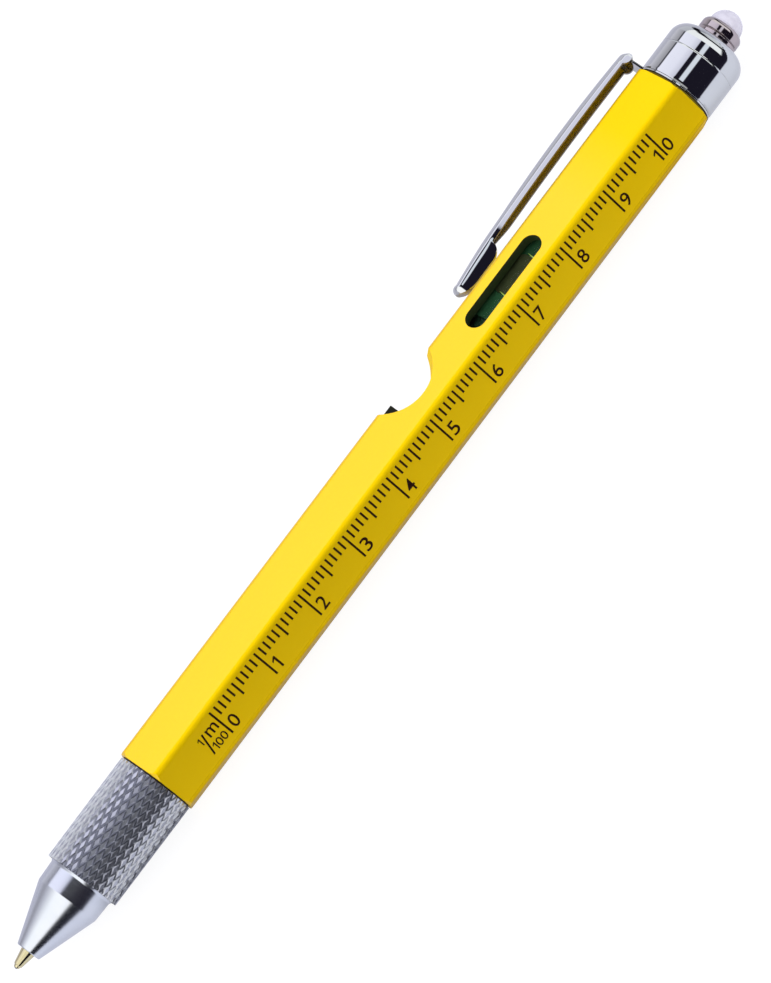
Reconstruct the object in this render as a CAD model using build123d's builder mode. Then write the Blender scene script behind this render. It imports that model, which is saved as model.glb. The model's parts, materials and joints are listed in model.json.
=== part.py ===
from build123d import *
import math
import os

os.makedirs("parts", exist_ok=True)

# Hexagonal multi tool pen, lying on the flat opposite its level window.
# X runs along the pen from the writing tip to the lamp, Z is up, and the origin is the middle of the
# barrel's lower flat. The ruler face looks towards -Y, the clip and the opener notch towards +Y.

# Fits
running_gap = 0.05
seat_gap = 0.02
cut_overrun = 2.0

# Button cells: the widest thing inside, so the barrel's width is built up from them
cell_radius = 3.95
cell_height = 3.6
cell_shoulder = 0.75
cell_cap_height = 0.35
cell_count = 3
cell_room = 0.10

# Walls from the cells out to the flats, and from the flats in to the twist mechanism
insert_wall = 0.33
barrel_wall = 1.45
front_wall = 1.55
guide_wall = 0.68
cam_wall = 0.80

# Barrel
barrel_edge_radius = 1.0
grip_end_step = 0.35
cap_end_bevel = 0.55
front_bore_room = 5.45

# Opener notch and its steel tooth
notch_radius = 6.8
notch_depth = 3.4
notch_front_wall = 4.76
notch_back_wall = 2.96
tooth_reach = 2.17
tooth_length = 4.65
tooth_width = 2.4
tooth_height = 2.4
tooth_skin = 0.5
tooth_edge_radius = 0.12

# Level window and vial
window_length = 15.9
window_width = 3.25
window_offset = 2.1
vial_room = 0.3
vial_length = 24.2
vial_wall = 1.05
liquid_length = 15.0
bubble_length = 6.7
bubble_width = 4.2
bubble_depth = 0.75

# Refill, a slim metal one
refill_radius = 1.175
refill_length = 67.0
refill_wall = 0.22
point_reach = 2.8
ball_radius = 0.35
ball_showing = 0.16
point_cone_length = 3.4
point_stem_length = 3.0
ink_length = 43.0
refill_plug_length = 2.5

# Twist grip, knurled by crossing V grooves
grip_length = 16.45
grip_wall = 1.5
grip_taper = 0.15
knurl_columns = 40
knurl_rows = 11
knurl_depth = 0.26
washer_thickness = 0.18
washer_inset = 0.25

# Nose cone
nose_mouth_wall = 0.515
nose_lip_radius = 0.25
nose_cone_length = 8.65
nose_shoulder_height = 0.75
nose_band_length = 3.3
nose_band_taper = 0.15
nose_thread_length = 6.0
nose_tail_gap = 0.45
nose_guide_length = 3.4
nose_relief = 0.525
nose_back_relief = 1.15
nose_back_depth = 1.5

# Twist mechanism
twist_range = 180.0
retraction = 5.0
collar_wall = 0.55
collar_inset = 0.8
pin_radius = 0.7
pin_start = 0.4
pin_end_gap = 0.1
carrier_length = 20.0
carrier_back_wall = 4.2
guide_end_wall = 1.75
cam_tail = 2.0
ring_groove_depth = 0.25
retaining_ring_thickness = 0.6
retaining_ring_wall = 0.83
drag_ring_place = 7.6
drag_ring_section = 0.22

# Clip
clip_ring_thickness = 0.45
clip_tab_gap = 0.18
clip_tab_side_gap = 0.25
clip_length = 42.4
clip_width = 4.7
clip_tip_width = 3.6
clip_wall = 0.5
clip_end_wall = 0.3
clip_root_height = 3.53
clip_bow = 0.25
clip_root_radius = 0.9
clip_ear_height = 1.3
clip_ear_length = 1.7
clip_ear_back_height = 1.6
clip_tip_height = 2.15
clip_nose_height = 1.4
clip_nose_low_height = 0.65
clip_tip_corner_radius = 1.3
clip_flange_height = 1.95
clip_foot_height = 1.5
clip_edge_radius = 0.85
crown_share = 0.297
flange_share = 0.39
foot_end_share = 0.778
foot_pad_end_share = 0.830
foot_pad_start_share = 0.917
nose_back_share = 0.976
nose_low_share = 0.981

# Cap and the threaded insert that carries it
cap_sleeve_length = 5.15
cap_dome_length = 4.0
cap_shoulder_radius = 2.3
cap_front_wall = 1.5
cap_edge_bevel = 0.2
spigot_length = 0.85
spigot_wall = 0.48
insert_room = 1.9
insert_reach = 4.7

# Lamp
led_radius = 2.5
led_flange_step = 0.4
led_flange_thickness = 1.0
led_showing = 2.7
lead_radius = 0.25
lead_spacing = 2.54
lead_overlap = 0.1
board_inset = 0.5
board_thickness = 0.8
button_skin = 0.10
button_reach = 2.6
button_edge_radius = 0.5
button_groove_place = 0.85
button_groove_depth = 0.12
button_flange_gap = 0.15
button_flange_thickness = 0.95
button_travel = 1.0
contact_gap = 0.1
disc_thickness = 0.75
rivet_head_radius = 1.2
rivet_head_thickness = 0.35
rivet_radius = 0.6

# Springs
spring_wire_radius = 0.16
lamp_spring_radius = 2.3
lamp_spring_room = 1.7
lamp_spring_turns = 3
battery_spring_radius = 2.6
battery_spring_length = 3.4
battery_spring_turns = 3
battery_spacer_length = 10.6

# Radii that follow from the cells and the walls
insert_bore_radius = cell_radius + cell_room
insert_radius = insert_bore_radius + insert_wall
rear_bore_radius = insert_radius + seat_gap
face_radius = rear_bore_radius + barrel_wall
across_flats = 2 * face_radius
corner_radius = across_flats / math.sqrt(3)
axis_height = face_radius
front_bore_radius = face_radius - front_wall
guide_bore_radius = front_bore_radius - seat_gap - guide_wall
cam_radius = guide_bore_radius - running_gap
cam_bore_radius = cam_radius - cam_wall
grip_bore_radius = cam_radius + collar_wall
cap_radius = face_radius
cap_thread_radius = rear_bore_radius + running_gap

# Lengths inside the barrel, from the grip end back to the cap end
nose_reach = washer_thickness + seat_gap + grip_length + nose_band_length + nose_cone_length
refill_place = refill_length - point_reach - nose_reach
slot_half_width = pin_radius + running_gap
pin_place = refill_place + carrier_back_wall / 2
guide_length = pin_place + retraction + slot_half_width + guide_end_wall
ring_place = guide_length + running_gap
front_bore_depth = ring_place + retaining_ring_thickness + cam_tail + front_bore_room
notch_half_length = math.sqrt(notch_radius**2 - (notch_radius - notch_depth) ** 2)
core_length = notch_front_wall + 2 * notch_half_length + notch_back_wall
dome_face_place = clip_ring_thickness + cap_sleeve_length + cap_dome_length
flange_place = dome_face_place - cap_front_wall - running_gap - button_flange_thickness
spring_seat_place = flange_place - board_thickness - button_travel - lamp_spring_room
stack_place = spring_seat_place - disc_thickness - rivet_head_thickness
stack_length = cell_count * cell_height
battery_length = battery_spacer_length + battery_spring_length + stack_length
rear_bore_depth = vial_room + vial_length + battery_length - stack_place
barrel_length = front_bore_depth + core_length + rear_bore_depth

# The barrel's ends, the faces between its two bores, and the axes that the pieces share
barrel_front = -barrel_length / 2
barrel_back = barrel_length / 2
core_front = barrel_front + front_bore_depth
core_back = core_front + core_length
clip_tilt = math.radians(30)
pen_axis = Axis((0, 0, axis_height), (1, 0, 0))


def section(x):
    """Plane square to the pen at x, with Y to its right and Z up."""
    return Plane(origin=(x, 0, axis_height), x_dir=(0, 1, 0), z_dir=(1, 0, 0))


def clip_section(x):
    """Plane square to the pen at x, with its first direction out through the clip face."""
    outward = (0, math.cos(clip_tilt), math.sin(clip_tilt))
    return Plane(origin=(x, 0, axis_height), x_dir=outward, z_dir=(1, 0, 0))


# Lengthwise planes through the pen's axis: upright, and through the middle of the clip face
upright = Plane(origin=(0, 0, axis_height), x_dir=(1, 0, 0), z_dir=(0, -1, 0))
clip_side = Plane(
    origin=(0, 0, axis_height),
    x_dir=(1, 0, 0),
    z_dir=(0, -math.sin(clip_tilt), math.cos(clip_tilt)),
)


def ring(start, end, outer, inner=0.0):
    """A round bar or, with an inner radius, a tube along the pen's axis."""
    with BuildPart() as bar:
        with BuildSketch(section(start)):
            Circle(outer)
            if inner > 0:
                Circle(inner, mode=Mode.SUBTRACT)
        extrude(amount=end - start)
    return bar


def coil(start, length, radius, turns):
    """A compression spring along the pen's axis, swept along arcs of a quarter turn."""
    first = start + spring_wire_radius
    travel = length - 2 * spring_wire_radius
    quarters = 4 * turns

    def place(quarter):
        turn = math.pi / 2 * quarter
        x = first + travel * quarter / quarters
        return (x, radius * math.sin(turn), axis_height + radius * math.cos(turn))

    with BuildPart() as spring:
        with BuildLine() as path:
            for quarter in range(quarters):
                ThreePointArc(place(quarter), place(quarter + 0.5), place(quarter + 1))
        wire = path.wire()
        with BuildSketch(Plane(origin=wire @ 0, z_dir=wire % 0)):
            Circle(spring_wire_radius)
        sweep(path=wire)
    return spring


def finish(piece, name):
    piece.part.label = name
    export_step(piece.part, "parts/" + name + ".step")


# Barrel: hexagonal bar with bevelled ends, two blind bores, the opener notch and the level window
notch_x = core_front + notch_front_wall + notch_half_length
tooth_top = face_radius - tooth_skin
notch_wall_drop = notch_radius - notch_depth + tooth_skin
tooth_back = notch_x - math.sqrt(notch_radius**2 - notch_wall_drop**2) + tooth_reach
tooth_front = tooth_back - tooth_length
vial_front = core_back + vial_room
vial_back = vial_front + vial_length
vial_x = (vial_front + vial_back) / 2
window_x = vial_x - window_offset
grip_end_radius = face_radius + grip_end_step

with BuildPart() as hex_barrel:
    with BuildSketch(section(barrel_front)):
        RegularPolygon(face_radius, 6, major_radius=False)
    extrude(amount=barrel_length)
    fillet(hex_barrel.edges().filter_by(Axis.X), barrel_edge_radius)
    with BuildSketch(upright):
        with BuildLine():
            Polyline(
                (barrel_front, 0),
                (barrel_front, grip_end_radius),
                (barrel_front + corner_radius - grip_end_radius, corner_radius),
                (barrel_back - cap_end_bevel, corner_radius),
                (barrel_back, cap_radius),
                (barrel_back, 0),
                close=True,
            )
        make_face()
    revolve(axis=pen_axis, mode=Mode.INTERSECT)
    with BuildSketch(section(barrel_front)):
        Circle(front_bore_radius)
    extrude(amount=front_bore_depth, mode=Mode.SUBTRACT)
    with BuildSketch(section(barrel_back)):
        Circle(rear_bore_radius)
    extrude(amount=-rear_bore_depth, mode=Mode.SUBTRACT)
    with BuildSketch(clip_side):
        with Locations((notch_x, face_radius - notch_depth + notch_radius)):
            Circle(notch_radius)
    extrude(amount=across_flats, both=True, mode=Mode.SUBTRACT)
    with BuildSketch(clip_side):
        with Locations((tooth_front, tooth_top)):
            Rectangle(tooth_length, tooth_height, align=(Align.MIN, Align.MAX))
    extrude(amount=tooth_width / 2, both=True, mode=Mode.SUBTRACT)
    with BuildSketch(Plane.XY.offset(across_flats)):
        with Locations((window_x, 0)):
            SlotOverall(window_length, window_width)
    extrude(amount=-across_flats / 2, mode=Mode.SUBTRACT)
finish(hex_barrel, "hex_barrel")

# Opener tooth: steel lip seated in its pocket, reaching out of the notch's near wall
with BuildPart() as opener_tooth:
    with BuildSketch(clip_side):
        with Locations((tooth_front, tooth_top)):
            Rectangle(tooth_length, tooth_height, align=(Align.MIN, Align.MAX))
    extrude(amount=tooth_width / 2 - seat_gap, both=True)
    fillet(opener_tooth.faces().sort_by(Axis.X)[-1].edges(), tooth_edge_radius)
finish(opener_tooth, "opener_tooth")

# Level vial: clear tube, green liquid with the bubble's hollow on top, and a plug in each end
liquid_front = vial_x - liquid_length / 2
liquid_back = vial_x + liquid_length / 2
vial_radius = rear_bore_radius - running_gap
vial_bore_radius = vial_radius - vial_wall
plug_radius = vial_bore_radius - seat_gap

level_vial = ring(vial_front, vial_back, vial_radius, vial_bore_radius)
finish(level_vial, "level_vial")

with BuildPart() as level_liquid:
    with BuildSketch(section(liquid_front)):
        Circle(plug_radius)
    extrude(amount=liquid_length)
    with BuildSketch(Plane.XY.offset(axis_height + plug_radius - bubble_depth)):
        with Locations((vial_x, 0)):
            SlotOverall(bubble_length, bubble_width)
    extrude(amount=plug_radius, mode=Mode.SUBTRACT)
finish(level_liquid, "level_liquid")

vial_front_plug = ring(vial_front, liquid_front, plug_radius)
finish(vial_front_plug, "vial_front_plug")

vial_rear_plug = ring(liquid_back, vial_back, plug_radius)
finish(vial_rear_plug, "vial_rear_plug")

# Joint washer: dark ring against the barrel's grip end
washer_front = barrel_front - washer_thickness
grip_front_radius = grip_bore_radius + grip_wall
grip_back_radius = grip_front_radius + grip_taper
washer_radius = grip_back_radius - washer_inset
joint_washer = ring(washer_front, barrel_front, washer_radius, guide_bore_radius + running_gap)
finish(joint_washer, "joint_washer")

# Grip sleeve: a lattice of diamond pyramids, two per groove crossing, between low rims
grip_back = washer_front - seat_gap
grip_front = grip_back - grip_length
half_rows = 2 * knurl_rows
half_columns = 2 * knurl_columns


def knurl_point(row, column):
    """A lattice point: the tip of a diamond, or low where grooves cross and along both rims."""
    along = row / half_rows
    crest = grip_front_radius + (grip_back_radius - grip_front_radius) * along
    is_tip = (row + column) % 2 == 0 and 0 < row < half_rows
    radius = crest if is_tip else crest - knurl_depth
    turn = 2 * math.pi * column / half_columns
    return Vector(
        grip_front + grip_length * along,
        -radius * math.sin(turn),
        axis_height + radius * math.cos(turn),
    )


def knurl_facets(row, column):
    """The facets of the diamond at one lattice point, or of the half diamond at a rim."""
    corners = [(row - 1, column), (row, column + 1), (row + 1, column), (row, column - 1)]
    pairs = zip(corners, corners[1:] + corners[:1])
    kept = [pair for pair in pairs if all(0 <= corner[0] <= half_rows for corner in pair)]
    middle = knurl_point(row, column)
    return [Face(Wire.make_polygon([middle, knurl_point(*a), knurl_point(*b)])) for a, b in kept]


knurl_faces = []
for row in range(half_rows + 1):
    for column in range(row % 2, half_columns, 2):
        knurl_faces += knurl_facets(row, column)
for row in (0, half_rows):
    rim = [knurl_point(row, column) for column in range(half_columns)]
    knurl_faces.append(Face(Wire.make_polygon(rim)))
knurled_bar = Solid(Shell(knurl_faces))

with BuildPart() as grip_sleeve:
    add(knurled_bar)
    with BuildSketch(section(grip_front)):
        Circle(grip_bore_radius)
    extrude(amount=grip_length, mode=Mode.SUBTRACT)
finish(grip_sleeve, "grip_sleeve")

# Nose cone: rounded mouth, cone, band and threaded tail, bored to guide the refill
nose_shoulder = grip_front
band_front = nose_shoulder - nose_band_length
nose_mouth = band_front - nose_cone_length
nose_tail = nose_shoulder + nose_thread_length
refill_bore_radius = refill_radius + running_gap
nose_inner_radius = refill_bore_radius + nose_relief
nose_back_radius = nose_inner_radius + nose_back_relief
nose_mouth_radius = refill_bore_radius + nose_mouth_wall
nose_band_radius = grip_bore_radius + nose_shoulder_height
nose_cone_radius = nose_band_radius - nose_band_taper
guide_end = nose_mouth + nose_guide_length
thread_radius = grip_bore_radius - running_gap

with BuildPart() as nose_cone:
    with BuildSketch(upright) as nose_profile:
        with BuildLine():
            Polyline(
                (nose_mouth, refill_bore_radius),
                (nose_mouth, nose_mouth_radius),
                (band_front, nose_cone_radius),
                (nose_shoulder, nose_band_radius),
                (nose_shoulder, thread_radius),
                (nose_tail, thread_radius),
                (nose_tail, nose_back_radius),
                (nose_tail - nose_back_depth, nose_back_radius),
                (nose_tail - nose_back_depth, nose_inner_radius),
                (guide_end, nose_inner_radius),
                (guide_end, refill_bore_radius),
                close=True,
            )
        make_face()
        mouth = nose_profile.vertices().group_by(Axis.X)[0].sort_by(Axis.Z)
        fillet(mouth[-1], nose_lip_radius)
    revolve(axis=pen_axis)
finish(nose_cone, "nose_cone")

# Refill: writing ball, point, tube, ink and end plug
refill_front = nose_mouth - point_reach
ball_x = refill_front + ball_radius
lip_x = refill_front + ball_showing
cone_back = refill_front + point_cone_length
refill_back = barrel_front + refill_place
tube_bore_radius = refill_radius - refill_wall
stem_radius = tube_bore_radius - seat_gap
stem_back = cone_back + point_stem_length

with BuildPart() as writing_ball:
    with BuildSketch(upright):
        with Locations((ball_x, 0)):
            Circle(ball_radius)
        with Locations((ball_x, 0)):
            Rectangle(2 * ball_radius, ball_radius, align=(Align.CENTER, Align.MIN), mode=Mode.INTERSECT)
    revolve(axis=pen_axis)
finish(writing_ball, "writing_ball")

with BuildPart() as refill_tip:
    with BuildSketch(upright):
        with BuildLine():
            Polyline(
                (lip_x, 0),
                (lip_x, ball_radius),
                (cone_back, refill_radius),
                (cone_back, stem_radius),
                (stem_back, stem_radius),
                (stem_back, 0),
                close=True,
            )
        make_face()
        with Locations((ball_x, 0)):
            Circle(ball_radius + seat_gap, mode=Mode.SUBTRACT)
    revolve(axis=pen_axis)
finish(refill_tip, "refill_tip")

refill_tube = ring(cone_back, refill_back, refill_radius, tube_bore_radius)
finish(refill_tube, "refill_tube")

refill_ink = ring(stem_back, stem_back + ink_length, stem_radius)
finish(refill_ink, "refill_ink")

refill_plug = ring(refill_back - refill_plug_length, refill_back, stem_radius)
finish(refill_plug, "refill_plug")

# Refill carrier and the pin that both slots drive
carrier_back = refill_back + carrier_back_wall
carrier_front = carrier_back - carrier_length
pin_x = barrel_front + pin_place
pin_reach = front_bore_radius - pin_end_gap
carrier_radius = cam_bore_radius - running_gap

with BuildPart() as refill_carrier:
    with BuildSketch(section(carrier_front)):
        Circle(carrier_radius)
    extrude(amount=carrier_length)
    with BuildSketch(section(carrier_front)):
        Circle(refill_radius + seat_gap)
    extrude(amount=refill_back - carrier_front, mode=Mode.SUBTRACT)
    with BuildSketch(Plane.XY.offset(axis_height + pin_start)):
        with Locations((pin_x, 0)):
            Circle(pin_radius)
    extrude(amount=carrier_radius, mode=Mode.SUBTRACT)
finish(refill_carrier, "refill_carrier")

with BuildPart() as follower_pin:
    with BuildSketch(Plane.XY.offset(axis_height + pin_start)):
        with Locations((pin_x, 0)):
            Circle(pin_radius - seat_gap)
    extrude(amount=pin_reach - pin_start)
finish(follower_pin, "follower_pin")

# Guide tube: fixed in the barrel, with the straight slot that keeps the pin from turning
guide_front = barrel_front
guide_back = guide_front + guide_length
slot_middle = pin_x + retraction / 2
slot_length = retraction + 2 * slot_half_width

with BuildPart() as guide_tube:
    with BuildSketch(section(guide_front)):
        Circle(front_bore_radius - seat_gap)
        Circle(guide_bore_radius, mode=Mode.SUBTRACT)
    extrude(amount=guide_length)
    with BuildSketch(Plane.XY.offset(axis_height)):
        with Locations((slot_middle, 0)):
            SlotOverall(slot_length, 2 * slot_half_width)
    extrude(amount=front_bore_radius + cut_overrun, mode=Mode.SUBTRACT)
finish(guide_tube, "guide_tube")

# Cam tube: turns with the grip, its helical slot moves the pin along the guide
cam_front = nose_tail + nose_tail_gap
ring_front = barrel_front + ring_place
cam_back = ring_front + retaining_ring_thickness + cam_tail
groove_radius = cam_radius - ring_groove_depth
retaining_ring_radius = groove_radius + seat_gap + retaining_ring_wall
drag_ring_x = guide_front + drag_ring_place
drag_groove_radius = cam_radius - 2 * drag_ring_section + running_gap
lead = retraction * 360 / twist_range
slot_reach = slot_half_width
slot_travel = retraction + 2 * slot_reach
slot_rise = math.atan2(lead, 2 * math.pi * cam_radius)
slot_half_angle = slot_half_width / math.sin(slot_rise) / cam_radius + slot_half_width / cam_radius / 4
wedge_radius = cam_radius + cut_overrun


def slot_wedge(x, turn):
    """The helical slot's cross-section at x: a wedge about the pen's axis, turned from upright."""
    corners = [turn - slot_half_angle, turn, turn + slot_half_angle]
    far = [(x, -wedge_radius * math.sin(a), axis_height + wedge_radius * math.cos(a)) for a in corners]
    return Wire.make_polygon([(x, 0, axis_height)] + far)


first_turn = 2 * math.pi * slot_reach / lead
helical_slot = Solid.extrude_linear_with_rotation(
    slot_wedge(pin_x - slot_reach, first_turn),
    (pin_x - slot_reach, 0, axis_height),
    (slot_travel, 0, 0),
    -360 * slot_travel / lead,
)

with BuildPart() as cam_tube:
    with BuildSketch(section(cam_front)):
        Circle(cam_radius)
        Circle(cam_bore_radius, mode=Mode.SUBTRACT)
    extrude(amount=cam_back - cam_front)
    with BuildSketch(section(ring_front)):
        Circle(wedge_radius)
        Circle(groove_radius, mode=Mode.SUBTRACT)
    extrude(amount=retaining_ring_thickness, mode=Mode.SUBTRACT)
    with BuildSketch(section(drag_ring_x - drag_ring_section)):
        Circle(wedge_radius)
        Circle(drag_groove_radius, mode=Mode.SUBTRACT)
    extrude(amount=2 * drag_ring_section, mode=Mode.SUBTRACT)
    add(helical_slot, mode=Mode.SUBTRACT)
finish(cam_tube, "cam_tube")

retaining_ring = ring(
    ring_front, ring_front + retaining_ring_thickness, retaining_ring_radius, groove_radius + seat_gap
)
finish(retaining_ring, "retaining_ring")

with BuildPart() as friction_o_ring:
    with BuildSketch(upright):
        with Locations((drag_ring_x, cam_radius - drag_ring_section + running_gap - seat_gap)):
            Circle(drag_ring_section - seat_gap)
    revolve(axis=pen_axis)
finish(friction_o_ring, "friction_o_ring")

collar_back = grip_back - collar_inset
drive_collar = ring(cam_front, collar_back, grip_bore_radius - seat_gap, cam_radius + seat_gap)
finish(drive_collar, "drive_collar")

# Clip ring: clamped between barrel and cap, its tab stands up inside the root of the arm
clip_ring_back = barrel_back + clip_ring_thickness
tab_top = face_radius + clip_root_height - clip_wall - clip_tab_gap
clip_tab_width = clip_width - 2 * clip_wall - 2 * clip_tab_side_gap

with BuildPart() as clip_ring:
    with BuildSketch(clip_section(barrel_back)):
        Circle(cap_radius)
        Rectangle(tab_top, clip_tab_width, align=(Align.MIN, Align.CENTER))
        Circle(cap_thread_radius, mode=Mode.SUBTRACT)
    extrude(amount=clip_ring_thickness)
finish(clip_ring, "clip_ring")

# Clip arm: bowed channel with a rounded back, a boat-shaped foot, a blunt tip and two ears at its root
clip_root = clip_ring_back + running_gap + clip_end_wall
clip_tip = clip_root - clip_length


def along_clip(share):
    """Distance along the pen of a point that lies a share of the clip's length from its root."""
    return clip_root - clip_length * share


clip_plan = Plane(
    origin=(0, 0, axis_height), x_dir=(1, 0, 0), z_dir=(0, math.cos(clip_tilt), math.sin(clip_tilt))
)
crown_x = along_clip(crown_share)
clip_crown_height = clip_root_height + clip_bow
foot_end = along_clip(foot_end_share)
hollow_back = clip_root - clip_end_wall
hollow_tip_width = clip_tip_width - 2 * clip_wall
hollow_root_width = clip_width - 2 * clip_wall

with BuildPart() as clip_hollow:
    with BuildSketch(clip_side):
        with BuildLine():
            ceiling_back = (hollow_back, face_radius + clip_root_height - clip_wall)
            ceiling_crown = (crown_x, face_radius + clip_crown_height - clip_wall)
            ceiling_front = (foot_end, face_radius + clip_foot_height + clip_wall)
            ThreePointArc(ceiling_back, ceiling_crown, ceiling_front)
            Polyline(ceiling_front, (foot_end, 0), (hollow_back, 0), ceiling_back)
        make_face()
    extrude(amount=clip_width / 2, both=True)
    with BuildSketch(clip_plan):
        with BuildLine():
            Polyline(
                (clip_tip, hollow_tip_width / 2),
                (clip_root, hollow_root_width / 2),
                (clip_root, -hollow_root_width / 2),
                (clip_tip, -hollow_tip_width / 2),
                close=True,
            )
        make_face()
    extrude(amount=across_flats, mode=Mode.INTERSECT)

with BuildPart() as clip_arm:
    with BuildSketch(clip_side):
        with BuildLine():
            tip_top = (along_clip(nose_back_share), face_radius + clip_tip_height)
            nose_point = (clip_tip, face_radius + clip_nose_height)
            nose_low = (along_clip(nose_low_share), face_radius + clip_nose_low_height)
            pad_start = (along_clip(foot_pad_start_share), face_radius + running_gap)
            pad_end = (along_clip(foot_pad_end_share), face_radius + running_gap)
            foot_back = (foot_end, face_radius + clip_foot_height)
            flange_middle = (along_clip(flange_share), face_radius + clip_flange_height)
            ear_front = (clip_root - clip_ear_length, face_radius + clip_flange_height)
            ear_low = (clip_root - clip_ear_length / 2, face_radius + clip_ear_height)
            root_low = (clip_root, face_radius + clip_ear_back_height)
            root_high = (clip_root, face_radius + clip_root_height - clip_root_radius)
            top_back = (clip_root - clip_root_radius, face_radius + clip_root_height)
            ThreePointArc(tip_top, nose_point, nose_low)
            TangentArc(pad_start, nose_low, tangent=(-1, 0))
            Line(pad_start, pad_end)
            TangentArc(pad_end, foot_back, tangent=(1, 0))
            ThreePointArc(foot_back, flange_middle, ear_front)
            ThreePointArc(ear_front, ear_low, root_low)
            Line(root_low, root_high)
            TangentArc(root_high, top_back, tangent=(0, 1))
            ThreePointArc(top_back, (crown_x, face_radius + clip_crown_height), tip_top)
        make_face()
    extrude(amount=clip_width / 2, both=True)
    with BuildSketch(clip_plan):
        with BuildLine():
            Polyline(
                (clip_tip, clip_tip_width / 2),
                (clip_root, clip_width / 2),
                (clip_root, -clip_width / 2),
                (clip_tip, -clip_tip_width / 2),
                close=True,
            )
        make_face()
    extrude(amount=across_flats, mode=Mode.INTERSECT)
    fillet(clip_arm.edges().sort_by(Edge.length)[-2:], clip_edge_radius)
    with BuildSketch(clip_plan) as clip_outline:
        with Locations((clip_tip, 0)):
            Rectangle(clip_length, clip_width, align=(Align.MIN, Align.CENTER))
        fillet(clip_outline.vertices().group_by(Axis.X)[0], clip_tip_corner_radius)
    extrude(amount=across_flats, mode=Mode.INTERSECT)
    add(clip_hollow.part, mode=Mode.SUBTRACT)
finish(clip_arm, "clip_arm")

# Cap: sleeve up to the seam, then the dome with its spigot inside the sleeve
cap_front = clip_ring_back
seam = cap_front + cap_sleeve_length
dome_face = seam + cap_dome_length
spigot_front = seam - spigot_length
spigot_radius = cap_thread_radius + spigot_wall
spigot_seat_radius = spigot_radius + seat_gap
led_flange_radius = led_radius + led_flange_step
button_radius = led_flange_radius + running_gap + button_skin
button_hole_radius = button_radius + running_gap
wall_inside = dome_face - cap_front_wall

with BuildPart() as cap_sleeve:
    with BuildSketch(upright):
        with BuildLine():
            Polyline(
                (cap_front, cap_thread_radius),
                (cap_front, cap_radius - cap_edge_bevel),
                (cap_front + cap_edge_bevel, cap_radius),
                (seam - cap_edge_bevel / 2, cap_radius),
                (seam, cap_radius - cap_edge_bevel / 2),
                (seam, spigot_seat_radius),
                (spigot_front, spigot_seat_radius),
                (spigot_front, cap_thread_radius),
                close=True,
            )
        make_face()
    revolve(axis=pen_axis)
finish(cap_sleeve, "cap_sleeve")

with BuildPart() as cap_dome:
    with BuildSketch(upright):
        with BuildLine():
            Polyline(
                (dome_face, cap_radius - cap_shoulder_radius),
                (dome_face, button_hole_radius),
                (wall_inside, button_hole_radius),
                (wall_inside, cap_thread_radius),
                (spigot_front + seat_gap, cap_thread_radius),
                (spigot_front + seat_gap, spigot_radius),
                (seam, spigot_radius),
                (seam, cap_radius - cap_edge_bevel / 2),
                (seam + cap_edge_bevel / 2, cap_radius),
                (dome_face - cap_shoulder_radius, cap_radius),
            )
            TangentArc(
                (dome_face - cap_shoulder_radius, cap_radius),
                (dome_face, cap_radius - cap_shoulder_radius),
                tangent=(1, 0),
            )
        make_face()
    revolve(axis=pen_axis)
finish(cap_dome, "cap_dome")

# Threaded insert: pressed in the barrel, it passes the clip ring and carries the cap
spacer_back = vial_back + battery_spacer_length
insert_front = spacer_back + insert_room
insert_back = barrel_back + insert_reach
threaded_insert = ring(insert_front, insert_back, insert_radius, insert_bore_radius)
finish(threaded_insert, "threaded_insert")

# Lamp button: flange behind the dome's wall, grooved collar in front, bored for the lamp
flange_front = wall_inside - running_gap
flange_back = flange_front - button_flange_thickness
button_flange_radius = insert_bore_radius - button_flange_gap
collar_end = dome_face + button_reach
groove_x = dome_face + button_groove_place
led_seat = flange_back + led_flange_thickness + running_gap

with BuildPart() as lamp_button:
    with BuildSketch(upright) as button_profile:
        with BuildLine():
            Polyline(
                (flange_back, led_flange_radius + running_gap),
                (flange_back, button_flange_radius),
                (flange_front, button_flange_radius),
                (flange_front, button_radius),
                (groove_x - button_groove_depth, button_radius),
                (groove_x, button_radius - button_groove_depth),
                (groove_x + button_groove_depth, button_radius),
                (collar_end, button_radius),
                (collar_end, led_radius + seat_gap),
                (led_seat, led_radius + seat_gap),
                (led_seat, led_flange_radius + running_gap),
                close=True,
            )
        make_face()
        rim_corner = button_profile.vertices().group_by(Axis.X)[-1].sort_by(Axis.Z)
        fillet(rim_corner[-1], button_edge_radius)
    revolve(axis=pen_axis)
finish(lamp_button, "lamp_button")

# Lamp: clear diode with its flange and dome, on two leads in a small board
led_back = flange_back
led_front = collar_end + led_showing

with BuildPart() as lamp_led:
    with BuildSketch(upright):
        with BuildLine():
            Polyline(
                (led_front, 0),
                (led_back, 0),
                (led_back, led_flange_radius),
                (led_back + led_flange_thickness, led_flange_radius),
                (led_back + led_flange_thickness, led_radius),
                (led_front - led_radius, led_radius),
            )
            TangentArc((led_front - led_radius, led_radius), (led_front, 0), tangent=(1, 0))
        make_face()
    revolve(axis=pen_axis)
finish(lamp_led, "lamp_led")

board_front = led_back
board_back = board_front - board_thickness
board_radius = button_flange_radius - board_inset

with BuildPart() as lamp_board:
    with BuildSketch(section(board_back)):
        Circle(board_radius)
        with GridLocations(lead_spacing, 0, 2, 1):
            Circle(lead_radius + seat_gap, mode=Mode.SUBTRACT)
    extrude(amount=board_thickness)
finish(lamp_board, "lamp_board")

with BuildPart() as lamp_leads:
    with BuildSketch(section(board_back - lead_overlap)):
        with GridLocations(lead_spacing, 0, 2, 1):
            Circle(lead_radius)
    extrude(amount=board_thickness + lead_overlap)
finish(lamp_leads, "lamp_leads")

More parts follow.
